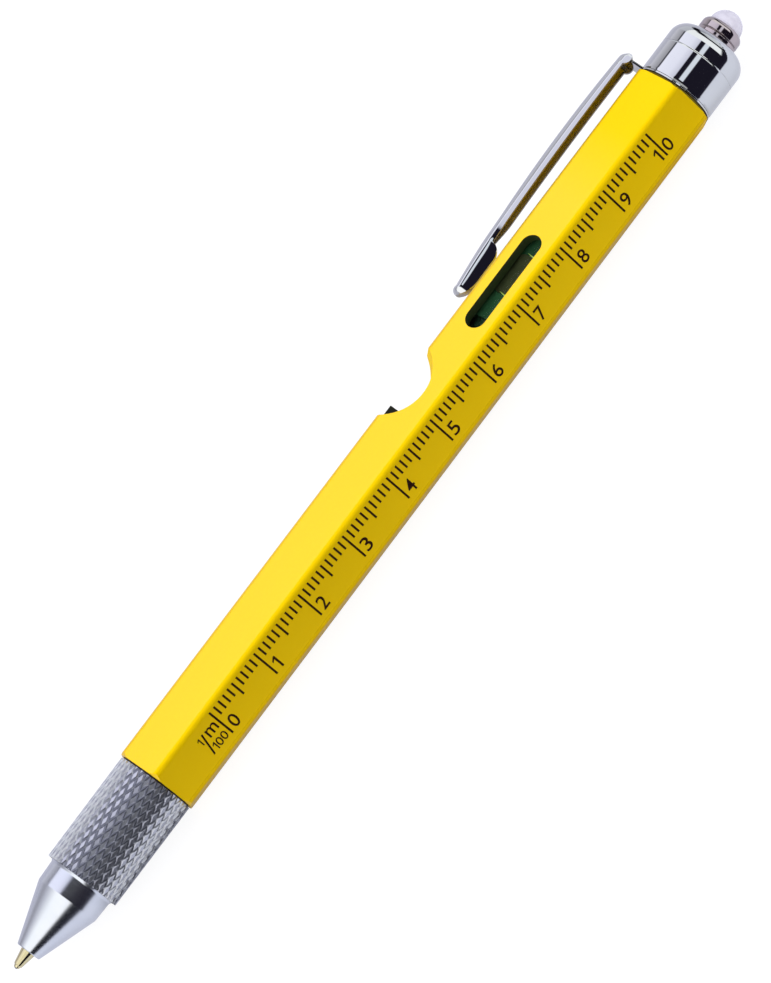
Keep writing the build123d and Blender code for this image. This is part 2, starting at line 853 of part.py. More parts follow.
# Fixed contact of the lamp switch: insulating disc and rivet, just out of the board's reach
rivet_front = board_back - button_travel - lead_overlap - contact_gap
spring_seat = barrel_back + spring_seat_place
disc_front = spring_seat - disc_thickness
disc_radius = insert_bore_radius - running_gap
stack_back = barrel_back + stack_place

with BuildPart() as switch_disc:
    with BuildSketch(section(disc_front)):
        Circle(disc_radius)
        Circle(rivet_radius + seat_gap, mode=Mode.SUBTRACT)
    extrude(amount=disc_thickness)
finish(switch_disc, "switch_disc")

with BuildPart() as contact_rivet:
    with BuildSketch(section(stack_back)):
        Circle(rivet_head_radius)
    extrude(amount=rivet_head_thickness)
    with BuildSketch(section(disc_front)):
        Circle(rivet_radius)
    extrude(amount=rivet_front - disc_front)
finish(contact_rivet, "contact_rivet")

lamp_spring = coil(spring_seat, board_back - spring_seat, lamp_spring_radius, lamp_spring_turns)
finish(lamp_spring, "lamp_spring")

# Button cells: three in a row behind the contact, each a can with its smaller cap
stack_front = stack_back - stack_length
cell_cap_radius = cell_radius - cell_shoulder

for index in range(cell_count):
    cell_front = stack_front + index * cell_height
    with BuildPart() as button_cell:
        with BuildSketch(section(cell_front)):
            Circle(cell_cap_radius)
        extrude(amount=cell_cap_height)
        with BuildSketch(section(cell_front + cell_cap_height)):
            Circle(cell_radius)
        extrude(amount=cell_height - cell_cap_height)
    finish(button_cell, "button_cell_" + str(index + 1))

# Battery spring and the spacer that fills the bore up to the vial
battery_spring = coil(spacer_back, battery_spring_length, battery_spring_radius, battery_spring_turns)
finish(battery_spring, "battery_spring")

battery_spacer = ring(vial_back, spacer_back, vial_radius)
finish(battery_spacer, "battery_spacer")
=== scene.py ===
# %% [markdown]
# # A hexagonal multi tool pen
#
# A yellow hexagonal bar with a ruler on one face, a bubble level behind a slot in the next, a
# crown-cap opener in its edge, a knurled twist grip, a chrome clip and a push-button lamp. The packed
# CAD model is loaded first and stays fixed: everything made here is dressed around it, in metres, with
# the pen's axis along X and the writing tip at the left.

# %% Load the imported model
import json
import math

import bmesh
import bpy
from mathutils import Matrix, Vector


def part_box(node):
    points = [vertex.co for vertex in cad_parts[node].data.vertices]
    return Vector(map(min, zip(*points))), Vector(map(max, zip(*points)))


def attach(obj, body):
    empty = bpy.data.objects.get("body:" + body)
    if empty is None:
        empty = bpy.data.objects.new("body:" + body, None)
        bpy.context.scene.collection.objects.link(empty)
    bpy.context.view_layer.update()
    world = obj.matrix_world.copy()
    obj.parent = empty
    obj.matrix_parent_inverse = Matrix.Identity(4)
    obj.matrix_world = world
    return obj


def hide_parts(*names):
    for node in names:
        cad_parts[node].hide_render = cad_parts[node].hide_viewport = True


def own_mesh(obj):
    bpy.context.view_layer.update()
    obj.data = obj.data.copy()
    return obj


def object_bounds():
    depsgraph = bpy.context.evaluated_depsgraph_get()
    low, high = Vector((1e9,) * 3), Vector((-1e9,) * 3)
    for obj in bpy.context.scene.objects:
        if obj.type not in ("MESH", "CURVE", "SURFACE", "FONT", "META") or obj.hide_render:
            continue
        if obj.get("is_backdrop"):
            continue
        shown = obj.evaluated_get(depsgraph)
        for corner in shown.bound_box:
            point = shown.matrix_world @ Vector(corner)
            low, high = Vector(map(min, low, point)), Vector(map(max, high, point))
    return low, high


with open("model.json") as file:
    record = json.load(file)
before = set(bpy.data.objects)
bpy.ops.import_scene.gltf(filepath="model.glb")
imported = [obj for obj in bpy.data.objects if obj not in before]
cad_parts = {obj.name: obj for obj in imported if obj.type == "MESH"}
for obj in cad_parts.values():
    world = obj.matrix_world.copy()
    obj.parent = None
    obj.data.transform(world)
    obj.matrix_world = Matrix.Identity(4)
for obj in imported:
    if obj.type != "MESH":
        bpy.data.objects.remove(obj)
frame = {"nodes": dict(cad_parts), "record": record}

cad_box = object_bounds()
scene = bpy.context.scene
MM = 0.001

# %% [markdown]
# ## Where everything is
#
# The frame says where each node lies, so sizes are read from it instead of being typed again. A round
# piece is told by its first and last x and its radius about the axis. The hexagon lies on a flat, so
# the axis is half of the across-flats size above the floor.

# %% Sizes read from the frame
barrel_low, barrel_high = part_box("hex_barrel")
FACE_RADIUS = (barrel_high.z - barrel_low.z) / 2 / MM
AXIS_HEIGHT = (barrel_high.z + barrel_low.z) / 2 / MM
COS30 = math.cos(math.radians(30))


def span(node):
    """First x, last x and radius about the pen's axis of a round CAD node, in millimetres."""
    low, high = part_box(node)
    return low.x / MM, high.x / MM, AXIS_HEIGHT - low.z / MM


def from_axis(y, z):
    """Distance from the pen's axis, all in millimetres."""
    return math.hypot(y, z - AXIS_HEIGHT)


for node in ("hex_barrel", "grip_sleeve", "nose_cone", "cap_sleeve", "cap_dome", "lamp_button"):
    print(node, ["%.2f" % value for value in span(node)])

# %% [markdown]
# ## The camera
#
# The photograph was taken with a long lens from above the level face, the pen rising from the lower
# left to the upper right. The ruler's printed centimetres gave the distance and the tilt: equal
# marks shrink by a known share towards the lamp. A portrait picture uses the sensor's 36 mm upright.

# %% Camera
camera_data = bpy.data.cameras.new("photo_camera")
camera_data.lens = 149.5
camera_data.sensor_width = 36
camera_data.clip_start = 0.01
camera_data.clip_end = 20
camera = bpy.data.objects.new("photo_camera", camera_data)
scene.collection.objects.link(camera)
scene.camera = camera
camera_place = Vector((-87.99, -315.12, 462.97)) * MM
camera_aim = Vector((-9.147, -0.940, 5.205)) * MM
camera_up = Vector((0.7907, 0.4327, 0.4332))
camera_back = (camera_place - camera_aim).normalized()
camera_right = camera_up.cross(camera_back).normalized()
camera_turn = Matrix((camera_right, camera_back.cross(camera_right), camera_back)).transposed()
camera.matrix_world = Matrix.Translation(camera_place) @ camera_turn.to_4x4()
scene.view_settings.view_transform = "Standard"
print("camera distance %.0f mm" % ((camera_place - camera_aim).length / MM))

# %% [markdown]
# ## Small helpers
#
# Every shader below is a few nodes, so one function adds a node, fills its sockets with values or
# with other nodes' outputs, and sets its options. Colours are written as sRGB hex, the way a paint
# picker shows them, and turned to the linear values that light works with.


# %% Helpers for nodes and colours
def linear(hex_colour):
    """Linear RGBA of an sRGB hex colour such as "FFD21E"."""
    parts = [int(hex_colour[i : i + 2], 16) / 255 for i in (0, 2, 4)]
    return [c / 12.92 if c <= 0.04045 else ((c + 0.055) / 1.055) ** 2.4 for c in parts] + [1.0]


def add(tree, kind, inputs=(), **settings):
    """Adds one node: options by name, and sockets by name or number as values or as links."""
    node = tree.nodes.new(kind)
    for name, value in settings.items():
        setattr(node, name, value)
    for name, value in dict(inputs).items():
        if isinstance(value, bpy.types.NodeSocket):
            tree.links.new(value, node.inputs[name])
        else:
            node.inputs[name].default_value = value
    return node


def fill_ramp(ramp, stops):
    """Gives a colour ramp its stops, each a place from 0 to 1 and a hex colour, the two ends first."""
    for index, (place, colour) in enumerate(stops):
        stop = ramp.elements[index] if index < 2 else ramp.elements.new(place)
        stop.position = place
        stop.color = linear(colour)


print("a mid grey in linear light:", ["%.3f" % c for c in linear("808080")[:3]])

# %% [markdown]
# ## Studio light
#
# Polished chrome shows the room and not itself. The photograph's chrome bands are long softboxes
# beside the pen, with black flags between them, so the world is painted as strips that run along
# the pen: its colour depends on the angle about X. The same strips light the yellow faces: bright
# from above, half as bright from the ruler's side.

# %% Angle about the pen
world = bpy.data.worlds.new("studio")
scene.world = world
world.use_nodes = True
studio = world.node_tree
studio.nodes.clear()
looking = add(studio, "ShaderNodeTexCoord").outputs["Generated"]
towards = add(studio, "ShaderNodeSeparateXYZ", {0: looking}).outputs
angle = add(studio, "ShaderNodeMath", {0: towards["Z"], 1: towards["Y"]}, operation="ARCTAN2")
whole_turn = {"Value": angle.outputs[0], "From Min": -math.pi, "From Max": math.pi}
about_pen = add(studio, "ShaderNodeMapRange", whole_turn).outputs[0]


def on_ramp(degrees):
    """Place on a ramp of an angle about the pen: 0 degrees is along +Y and 90 is straight up."""
    return (degrees + 180) / 360


def strips(stops):
    """Stops given in degrees about the pen, as places on a ramp."""
    return [(on_ramp(degrees), colour) for degrees, colour in stops]


print("straight up lies at %.2f on a ramp" % on_ramp(90))

# %% [markdown]
# ## Strips beside the pen
#
# Read upwards from the far side: pale wall, a dark line, the main softbox, a black flag, a narrow
# strip of light, and a black flag that closes the ruler's side. These are the chrome cap's bands.

# %% Strips beside the pen
BESIDE = [
    (-180, "191722"),
    (180, "191722"),
    (-57, "B9B9C3"),
    (-174, "BBBDC5"),
    (0, "C0C0CA"),
    (31.0, "98989F"),
    (32.0, "4A4A52"),
    (37.2, "4A4A52"),
    (38.2, "EAEBFA"),
    (75.0, "E4E5F4"),
    (93.8, "CBCCDC"),
    (95.2, "191722"),
    (108.0, "191722"),
    (109.2, "D6DCE6"),
    (121.4, "D6DCE6"),
    (122.6, "191722"),
]
beside = add(studio, "ShaderNodeValToRGB", {"Fac": about_pen})
fill_ramp(beside.color_ramp, strips(BESIDE))
print("stops beside the pen:", len(BESIDE))

# %% [markdown]
# ## One black flag for the nose
#
# The short band behind the nose cone shows one wide black line where the cap shows two lines with
# light between. The cap's mirror leans a little towards +X, so the narrow strip of light is painted
# over with black for every direction that leans less than that.

# %% One black flag
NARROW_STRIP, STRIP_REACH = 109, 15
CAP_LEAN = 0.12
strip_range = {0: about_pen, 1: on_ramp(NARROW_STRIP), 2: STRIP_REACH / 360}
in_strip = add(studio, "ShaderNodeMath", strip_range, operation="COMPARE")
not_at_cap = add(studio, "ShaderNodeMath", {0: towards["X"], 1: CAP_LEAN}, operation="LESS_THAN")
covered = add(
    studio, "ShaderNodeMath", {0: in_strip.outputs[0], 1: not_at_cap.outputs[0]}, operation="MULTIPLY"
)
black_over = {0: covered.outputs[0], 6: beside.outputs[0], 7: linear("17171C")}
beside_all = add(studio, "ShaderNodeMix", black_over, data_type="RGBA")
print("black flag around %d degrees" % NARROW_STRIP)

# %% [markdown]
# ## Strips towards the tip
#
# The nose cone leans towards the tip and mirrors what stands there: the main softbox reaches further
# over to the ruler's side, and no flag crosses it. A ramp on x blends the two sets.

# %% Strips towards the tip
TOWARDS_TIP = [
    (-180, "0C0E18"),
    (180, "0C0E18"),
    (-174, "C4C6CE"),
    (-54, "C4C6CE"),
    (-50, "9C9FAA"),
    (18, "8A8A92"),
    (46, "BFC0C8"),
    (78, "FAFCFC"),
    (141, "FFFFFF"),
    (145, "0C0E18"),
]
TIP_STARTS, TIP_FULL = -0.26, -0.40
towards_tip = add(studio, "ShaderNodeValToRGB", {"Fac": about_pen})
fill_ramp(towards_tip.color_ramp, strips(TOWARDS_TIP))
tip_range = {"Value": towards["X"], "From Min": TIP_STARTS, "From Max": TIP_FULL}
tip_share = add(studio, "ShaderNodeMapRange", tip_range)
both_sets = {0: tip_share.outputs[0], 6: beside_all.outputs[2], 7: towards_tip.outputs[0]}
sides = add(studio, "ShaderNodeMix", both_sets, data_type="RGBA")
print("stops towards the tip:", len(TOWARDS_TIP))

# %% [markdown]
# ## The wall past the lamp
#
# The dome's shoulder turns towards +X and shows what stands past the lamp: a white strip that stops
# short of the ruler's side, then a dark gap, then a pale wall. The colour there depends on how far
# the direction leans to +X, so a ramp on x is laid over the strips where x is large. The wall is a
# little darker on the far side, which a second ramp, about the pen, multiplies in.

# %% End wall
END_WALL = [
    (0, "ECEFF0"),
    (1, "C4C8CC"),
    (0.74, "ECEFF0"),
    (0.77, "17171C"),
    (0.875, "17171C"),
    (0.90, "C4C8CC"),
]
FAR_SIDE = [(-180, "E8E8EC"), (180, "FFFFFF"), (-20, "D0D0D6"), (35, "C0C0C8"), (38, "FFFFFF")]
end_wall = add(studio, "ShaderNodeValToRGB", {"Fac": towards["X"]})
fill_ramp(end_wall.color_ramp, END_WALL)
far_side = add(studio, "ShaderNodeValToRGB", {"Fac": about_pen})
fill_ramp(far_side.color_ramp, strips(FAR_SIDE))
wall_and_tint = {0: 1.0, 6: end_wall.outputs[0], 7: far_side.outputs[0]}
end_tint = add(studio, "ShaderNodeMix", wall_and_tint, data_type="RGBA", blend_type="MULTIPLY")
print("stops on the end wall:", len(END_WALL) + len(FAR_SIDE))

# %% [markdown]
# ## Where the white strip stops
#
# The strip ends on the ruler's side, so a ramp that is white where it shines and black where it stops
# says how much of it is seen. Past the strip, where x is larger still, the wall shows all round.

# %% White strip and wall
STRIP_SHINES = [(-180, "000000"), (180, "000000"), (-150, "FFFFFF"), (158, "FFFFFF"), (166, "000000")]
STRIP_ENDS = 0.75
WALL_STARTS, WALL_FULL = 0.315, 0.335
strip_shines = add(studio, "ShaderNodeValToRGB", {"Fac": about_pen})
fill_ramp(strip_shines.color_ramp, strips(STRIP_SHINES))
past_strip = add(studio, "ShaderNodeMath", {0: towards["X"], 1: STRIP_ENDS}, operation="GREATER_THAN")
wall_seen = add(
    studio, "ShaderNodeMath", {0: past_strip.outputs[0], 1: strip_shines.outputs[0]}, operation="MAXIMUM"
)
wall_or_black = {0: wall_seen.outputs[0], 6: linear("191722"), 7: end_tint.outputs[2]}
wall_colour = add(studio, "ShaderNodeMix", wall_or_black, data_type="RGBA")
wall_range = {"Value": towards["X"], "From Min": WALL_STARTS, "From Max": WALL_FULL}
wall_share = add(studio, "ShaderNodeMapRange", wall_range)
sides_and_wall = {0: wall_share.outputs[0], 6: sides.outputs[2], 7: wall_colour.outputs[2]}
room = add(studio, "ShaderNodeMix", sides_and_wall, data_type="RGBA")
print("the wall starts at x = %.3f" % WALL_STARTS)

# %% [markdown]
# ## Light levels and the white background
#
# The strips are tuned to how the chrome looks, which leaves the matt ruler face too dark. A fill
# light from the ruler's side, for diffuse rays only, brightens it and never shows in the chrome. The
# camera sees plain white instead of the strips, straight or through something clear.

# %% Light levels
LIGHT_LEVEL = 1.75
FILL_LEVEL = 0.9
rays = add(studio, "ShaderNodeLightPath").outputs
room_light = add(studio, "ShaderNodeBackground", {"Color": room.outputs[2], "Strength": LIGHT_LEVEL})
ruler_range = {"Value": towards["Y"], "From Min": 0.0, "From Max": -1.0, "To Max": FILL_LEVEL}
ruler_side = add(studio, "ShaderNodeMapRange", ruler_range)
fill_level = add(
    studio, "ShaderNodeMath", {0: ruler_side.outputs[0], 1: rays["Is Diffuse Ray"]}, operation="MULTIPLY"
)
fill_light = add(studio, "ShaderNodeBackground", {"Color": (1, 1, 1, 1), "Strength": fill_level.outputs[0]})
lit_room = add(studio, "ShaderNodeAddShader", {0: room_light.outputs[0], 1: fill_light.outputs[0]})
background = add(studio, "ShaderNodeBackground", {"Color": (1, 1, 1, 1), "Strength": 1.0})
seen = add(
    studio, "ShaderNodeMath", {0: rays["Is Camera Ray"], 1: rays["Is Transmission Ray"]}, operation="MAXIMUM"
)
shown = {0: seen.outputs[0], 1: lit_room.outputs[0], 2: background.outputs[0]}
add(studio, "ShaderNodeOutputWorld", {"Surface": add(studio, "ShaderNodeMixShader", shown).outputs[0]})
print("world nodes:", len(studio.nodes))

# %% [markdown]
# ## The floor
#
# The pen lies on a white sheet. For the camera the sheet is lifted to paper white by a little light
# of its own, so that only a soft shadow stays under the pen. What the chrome and the yellow mirror of
# it is not white, so the finish asks which kind of ray has hit it.

# %% Sheet for the camera
REACH = 1.6
sheet_corners = [(-REACH, -REACH, 0), (REACH, -REACH, 0), (REACH, REACH, 0), (-REACH, REACH, 0)]
floor_mesh = bpy.data.meshes.new("floor")
floor_mesh.from_pydata(sheet_corners, [], [(0, 1, 2, 3)])
floor = bpy.data.objects.new("floor", floor_mesh)
scene.collection.objects.link(floor)
white_sheet = bpy.data.materials.new("white_sheet")
white_sheet.use_nodes = True
sheet = white_sheet.node_tree
sheet.nodes.clear()
PAPER_LIFT = 0.89
paper = add(sheet, "ShaderNodeBsdfDiffuse", {"Color": linear("727276")})
lift = add(sheet, "ShaderNodeEmission", {"Color": (1, 1, 1, 1), "Strength": PAPER_LIFT})
seen_sheet = add(sheet, "ShaderNodeAddShader", {0: paper.outputs[0], 1: lift.outputs[0]})
print("floor %.1f m across" % (2 * REACH))

# %% [markdown]
# ## The floor in reflections
#
# Mirrored in the underside of the cap, the sheet is pale grey near the pen and black further towards
# the ruler's side, and this edge swings out towards +Y past the nose. So its colour is a ramp across
# the pen, on y in metres from 0.2 on one side to 0.2 on the other.

# %% Colour of the mirrored floor
SHEET = [
    (0, "191722"),
    (1, "9C9CA6"),
    (0.30, "191722"),
    (0.375, "B9BBC4"),
    (0.47, "B9BBC4"),
    (0.53, "9C9CA6"),
]
RAMP_HALF = 0.2
NOSE_SWING = {"From Min": -0.09, "From Max": -0.13, "To Max": 0.03}
sheet_point = add(sheet, "ShaderNodeTexCoord").outputs["Object"]
sheet_place = add(sheet, "ShaderNodeSeparateXYZ", {0: sheet_point}).outputs
swing = add(sheet, "ShaderNodeMapRange", {"Value": sheet_place["X"], **NOSE_SWING})
swung_y = add(sheet, "ShaderNodeMath", {0: sheet_place["Y"], 1: swing.outputs[0]}, operation="SUBTRACT")
ramp_range = {"Value": swung_y.outputs[0], "From Min": -RAMP_HALF, "From Max": RAMP_HALF}
across_sheet = add(sheet, "ShaderNodeMapRange", ramp_range)
sheet_ramp = add(sheet, "ShaderNodeValToRGB", {"Fac": across_sheet.outputs[0]})
fill_ramp(sheet_ramp.color_ramp, SHEET)
print("stops on the sheet:", len(SHEET))

# %% [markdown]
# ## Shade under the pen
#
# Close under the barrel the sheet lies in the pen's own shade and glows little; in the open it is
# bright. The shaded patch is a rectangle, told by the distance from the pen's middle along x and
# from its middle line along y.

# %% Glow of the mirrored floor
PEN_MIDDLE, PEN_LINE = -0.0085, -0.003
SHADE_ENDS = {"From Min": 0.066, "From Max": 0.070}
SHADE_SIDES = {"From Min": 0.009, "From Max": 0.016}
SHADED_GLOW, OPEN_GLOW = 0.10, 0.62
beyond = []
for axis, middle, edge in (("X", PEN_MIDDLE, SHADE_ENDS), ("Y", PEN_LINE, SHADE_SIDES)):
    moved = add(sheet, "ShaderNodeMath", {0: sheet_place[axis], 1: -middle}, operation="ADD")
    distance = add(sheet, "ShaderNodeMath", {0: moved.outputs[0]}, operation="ABSOLUTE")
    beyond.append(add(sheet, "ShaderNodeMapRange", {"Value": distance.outputs[0], **edge}).outputs[0])
in_the_open = add(sheet, "ShaderNodeMath", {0: beyond[0], 1: beyond[1]}, operation="MAXIMUM")
glow_range = {"To Min": SHADED_GLOW * LIGHT_LEVEL, "To Max": OPEN_GLOW * LIGHT_LEVEL}
glow = add(sheet, "ShaderNodeMapRange", {"Value": in_the_open.outputs[0], **glow_range})
sheet_glow = add(sheet, "ShaderNodeEmission", {"Color": sheet_ramp.outputs[0], "Strength": glow.outputs[0]})
sheet_matt = add(sheet, "ShaderNodeBsdfDiffuse", {"Color": sheet_ramp.outputs[0]})
mirrored_sheet = add(sheet, "ShaderNodeAddShader", {0: sheet_glow.outputs[0], 1: sheet_matt.outputs[0]})
print("glow from %.2f to %.2f" % (SHADED_GLOW * LIGHT_LEVEL, OPEN_GLOW * LIGHT_LEVEL))

# %% [markdown]
# ## One sheet from three looks
#
# Glossy rays get the mirrored look, diffuse rays plain paper, and camera rays the lifted paper.

# %% Finished sheet
sheet_rays = add(sheet, "ShaderNodeLightPath").outputs
plain_sheet = add(sheet, "ShaderNodeBsdfDiffuse", {"Color": linear("E6E6E8")})
bounced = {0: sheet_rays["Is Glossy Ray"], 1: plain_sheet.outputs[0], 2: mirrored_sheet.outputs[0]}
bounced_sheet = add(sheet, "ShaderNodeMixShader", bounced)
direct = add(
    sheet,
    "ShaderNodeMath",
    {0: sheet_rays["Is Camera Ray"], 1: sheet_rays["Is Transmission Ray"]},
    operation="MAXIMUM",
)
all_rays = {0: direct.outputs[0], 1: bounced_sheet.outputs[0], 2: seen_sheet.outputs[0]}
add(sheet, "ShaderNodeOutputMaterial", {"Surface": add(sheet, "ShaderNodeMixShader", all_rays).outputs[0]})
floor_mesh.materials.append(white_sheet)
floor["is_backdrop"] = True
print("sheet nodes:", len(sheet.nodes))

# %% [markdown]
# ## Starting a finish
#
# Each finish starts from one principled shader that reads the piece's own Object coordinates, which
# are metres here. A grain of so many millimetres is therefore a noise of a thousand over that size.


# %% Helpers for finishes
def start(name, colour, metallic=0.0, roughness=0.4, **sockets):
    """A new material: its tree, its principled shader and its Object coordinates."""
    material = bpy.data.materials.new(name)
    material.use_nodes = True
    tree = material.node_tree
    tree.nodes.clear()
    values = {"Base Color": linear(colour), "Metallic": metallic, "Roughness": roughness}
    shader = add(tree, "ShaderNodeBsdfPrincipled", {**values, **sockets})
    add(tree, "ShaderNodeOutputMaterial", {"Surface": shader.outputs[0]})
    place = add(tree, "ShaderNodeTexCoord").outputs["Object"]
    return material, tree, shader, place


def per(size_mm):
    """Noise scale whose grain is so many millimetres."""
    return 1 / (size_mm * MM)


def vary(tree, shader, blend, colours, grain, roughness, spread, depth):
    """Mixes two colours by one noise, and varies roughness and height by another."""
    pair = {0: blend, 6: linear(colours[0]), 7: linear(colours[1])}
    mix = add(tree, "ShaderNodeMix", pair, data_type="RGBA")
    rough_range = {"Value": grain, "To Min": roughness - spread, "To Max": roughness + spread}
    rough = add(tree, "ShaderNodeMapRange", rough_range)
    bump = add(tree, "ShaderNodeBump", {"Height": grain, "Distance": depth * MM, "Strength": 1.0})
    tree.links.new(mix.outputs[2], shader.inputs["Base Color"])
    tree.links.new(rough.outputs[0], shader.inputs["Roughness"])
    tree.links.new(bump.outputs[0], shader.inputs["Normal"])


print("a 0.5 mm grain is noise scale %.0f" % per(0.5))

# %% [markdown]
# ## Two kinds of surface
#
# Cast, moulded, plated and blasted surfaces vary evenly in all directions, by one noise. Surfaces
# straight from a lathe have fine rings round the axis instead: the same noise, stretched 9 mm across
# the pen and squeezed to a groove's width along it. The real grooves are finer than the picture can
# show, so they are drawn as coarse as they need to be to give the long soft highlight of turned metal.


# %% Helpers for grained and turned surfaces
def grained(name, colour, other, grain, metallic=0.0, roughness=0.4, spread=0.08, depth=0.004, **sockets):
    """A finish whose colour, roughness and height vary over one grain size in millimetres."""
    material, tree, shader, place = start(name, colour, metallic, roughness, **sockets)
    noise = add(tree, "ShaderNodeTexNoise", {"Vector": place, "Scale": per(grain), "Detail": 4.0})
    vary(tree, shader, noise.outputs[0], (colour, other), noise.outputs[0], roughness, spread, depth)
    return material


RING_STRETCH = 9
RING_SPREAD = 0.06
CLOUD_GRAIN = 2.5


def turned(name, colour, other, groove, roughness, depth):
    """Lathe-turned metal: fine rings round the pen's axis, a groove width in millimetres apart."""
    material, tree, shader, place = start(name, colour, 1.0, roughness)
    squeeze = {"Vector": place, "Scale": (per(groove), per(RING_STRETCH), per(RING_STRETCH))}
    stretch = add(tree, "ShaderNodeMapping", squeeze)
    rings = add(tree, "ShaderNodeTexNoise", {"Vector": stretch.outputs[0], "Scale": 1.0, "Detail": 3.0})
    cloud = add(tree, "ShaderNodeTexNoise", {"Vector": place, "Scale": per(CLOUD_GRAIN), "Detail": 3.0})
    vary(tree, shader, cloud.outputs[0], (colour, other), rings.outputs[0], roughness, RING_SPREAD, depth)
    return material


others = len(bpy.data.materials)
print("materials of the frame and the floor:", others)

# %% [markdown]
# ## Yellow anodising
#
# The barrel is aluminium that was bead blasted and then anodised: matt with a fine tooth, and a clear,
# deep yellow that the metal lights from below. The two faces meet in a narrow rounded edge. Its side
# towards the ruler would mirror the white floor, so the edges get their own finish with a dark
# specular tint. Faces cut after blasting have lost the tooth. The end towards the cap is painted dark
# olive, as the shade that falls on it by the clip's ring.

# %% Yellow finishes
BLASTED = {"grain": 0.45, "roughness": 0.5, "spread": 0.05, "depth": 0.003}

# Blasted and anodised aluminium: deep yellow with a soft sheen.
yellow = grained(
    "blasted_yellow_anodising",
    "FFD608",
    "FDD204",
    metallic=0.72,
    **BLASTED,
    **{"Specular Tint": linear("FFDF6E"), "Coat Roughness": 0.14},
)
# The same on the long edges of the ruler's side: no pale line where they see the floor.
edge_yellow = grained(
    "anodised_edge",
    "FFD608",
    "FDD204",
    metallic=0.72,
    **BLASTED,
    **{"Specular Tint": linear("6E5A14"), "Specular IOR Level": 0.15},
)
# The edge below the ruler lies in the pen's shade and is duller.
shaded_edge = grained(
    "anodised_edge_in_shade",
    "DCB406",
    "D2AC04",
    metallic=0.35,
    **BLASTED,
    **{"Specular Tint": linear("3E3408"), "Specular IOR Level": 0.1},
)
# Milled after blasting: flat, warm and without sheen.
DULL = {"spread": 0.05, "Specular IOR Level": 0.1}
cut_yellow = grained("anodised_cut_face", "FAD41C", "F4CC14", 0.6, roughness=0.75, **DULL)
# The end face by the cap: painted shade of the clip's ring, dark olive.
end_olive = grained("anodised_end_face", "6E5E0A", "5C4E08", 0.6, roughness=0.7, **DULL)
print("yellow finishes:", len(bpy.data.materials) - others)

# %% [markdown]
# ## A gloss that fades along the barrel
#
# The level face is pale by the grip and a purer yellow by the cap. A thin clear coat on the barrel
# mirrors the softbox and gives the paleness, and its weight falls between 38 mm and 50 mm along x.

# %% Fading gloss
GLOSS_FADES = {"From Min": 38 * MM, "From Max": 50 * MM, "To Min": 0.62, "To Max": 0.05}
yellow_nodes = yellow.node_tree
yellow_point = add(yellow_nodes, "ShaderNodeTexCoord").outputs["Object"]
yellow_place = add(yellow_nodes, "ShaderNodeSeparateXYZ", {0: yellow_point})
gloss = add(yellow_nodes, "ShaderNodeMapRange", {"Value": yellow_place.outputs["X"], **GLOSS_FADES})
yellow_nodes.links.new(gloss.outputs[0], yellow_nodes.nodes["Principled BSDF"].inputs["Coat Weight"])
print("coat weight %.2f by the grip, %.2f by the cap" % (GLOSS_FADES["To Min"], GLOSS_FADES["To Max"]))

# %% [markdown]
# ## Plated and bare metals
#
# Chrome plate is a mirror of chromium, darker than silver, with only the faintest polishing haze.
# The grip is nickel over a cut knurl, so it is rough enough to spread each highlight over a diamond.
# The nose is bare aluminium straight from the lathe, and the refill's point is turned nickel silver.

# %% Plated metals
# Polished chrome plate: black and white bands with sharp edges.
chrome = grained(
    "chrome_plate", "C3C4C4", "C0C1C2", 2.5, metallic=1.0, roughness=0.035, spread=0.012, depth=0.0002
)
# Chrome inside the clip's channel and under its foot, with painted shade: brownish and dim, the brown a
# painted reflection of the yellow barrel.
shaded_chrome = grained(
    "chrome_inside_the_channel", "ACA694", "9E9886", 1.5, metallic=1.0, roughness=0.26, spread=0.03, depth=0.0
)
# Nickel plate on the lamp button: a mirror with a warm, faintly pink cast.
button_nickel = grained(
    "warm_nickel_plate", "B0A5A6", "A39899", 1.5, metallic=1.0, roughness=0.06, spread=0.02, depth=0.0004
)
# Dull nickel on the cut knurl: soft grey glints.
knurl_nickel = grained(
    "nickel_on_cut_knurl", "BDBEC6", "A4A6AE", 0.5, metallic=1.0, roughness=0.33, spread=0.07, depth=0.004
)
# Nickel-plated steel of the cells and of the metal in the lamp: bright, with a little haze.
plated_steel = grained(
    "nickel_plated_can", "C4C4C8", "B8B8BC", 1.5, metallic=1.0, roughness=0.18, spread=0.04, depth=0.001
)
print("plated: chrome, nickel, nickel-plated steel")

# %% Bare metals
# Painted shade at the bottom of the grooves: nearly black.
painted_groove_shade = grained(
    "grooves_in_painted_shade", "303036", "1E1E24", 0.5, metallic=0.6, roughness=0.45, spread=0.08, depth=0.005
)
# Blackened steel of the opener's tooth: dark with a greenish cast.
dark_steel = grained(
    "blackened_steel", "23271F", "15180F", 0.8, metallic=0.6, roughness=0.42, spread=0.08, depth=0.006
)
# Polished steel of the writing ball: one bright dot.
ball_steel = grained(
    "polished_steel_ball", "8C8C90", "7C7C80", 0.1, metallic=1.0, roughness=0.12, spread=0.03, depth=0.0005
)
# Drawn steel of the refill tube and the springs: plain grey.
plain_steel = grained(
    "plain_drawn_steel", "A8AAAC", "989A9C", 0.7, metallic=1.0, roughness=0.30, spread=0.06, depth=0.002
)
# Turned brass of the cam, the guide and the insert: warm and satin.
brass = grained(
    "turned_brass", "C8A24E", "B8903E", 0.9, metallic=1.0, roughness=0.26, spread=0.05, depth=0.002
)
# Bare aluminium from the lathe: satin, with highlights drawn out along the cone.
satin_aluminium = turned("turned_satin_aluminium", "C9CBD0", "BEC2CA", 0.09, 0.22, 0.0014)
# Nickel silver from the lathe: a pale straw colour.
nickel_silver = turned("turned_nickel_silver", "D2C8A2", "B8AC84", 0.07, 0.15, 0.001)
print("finishes so far:", len(bpy.data.materials) - others)
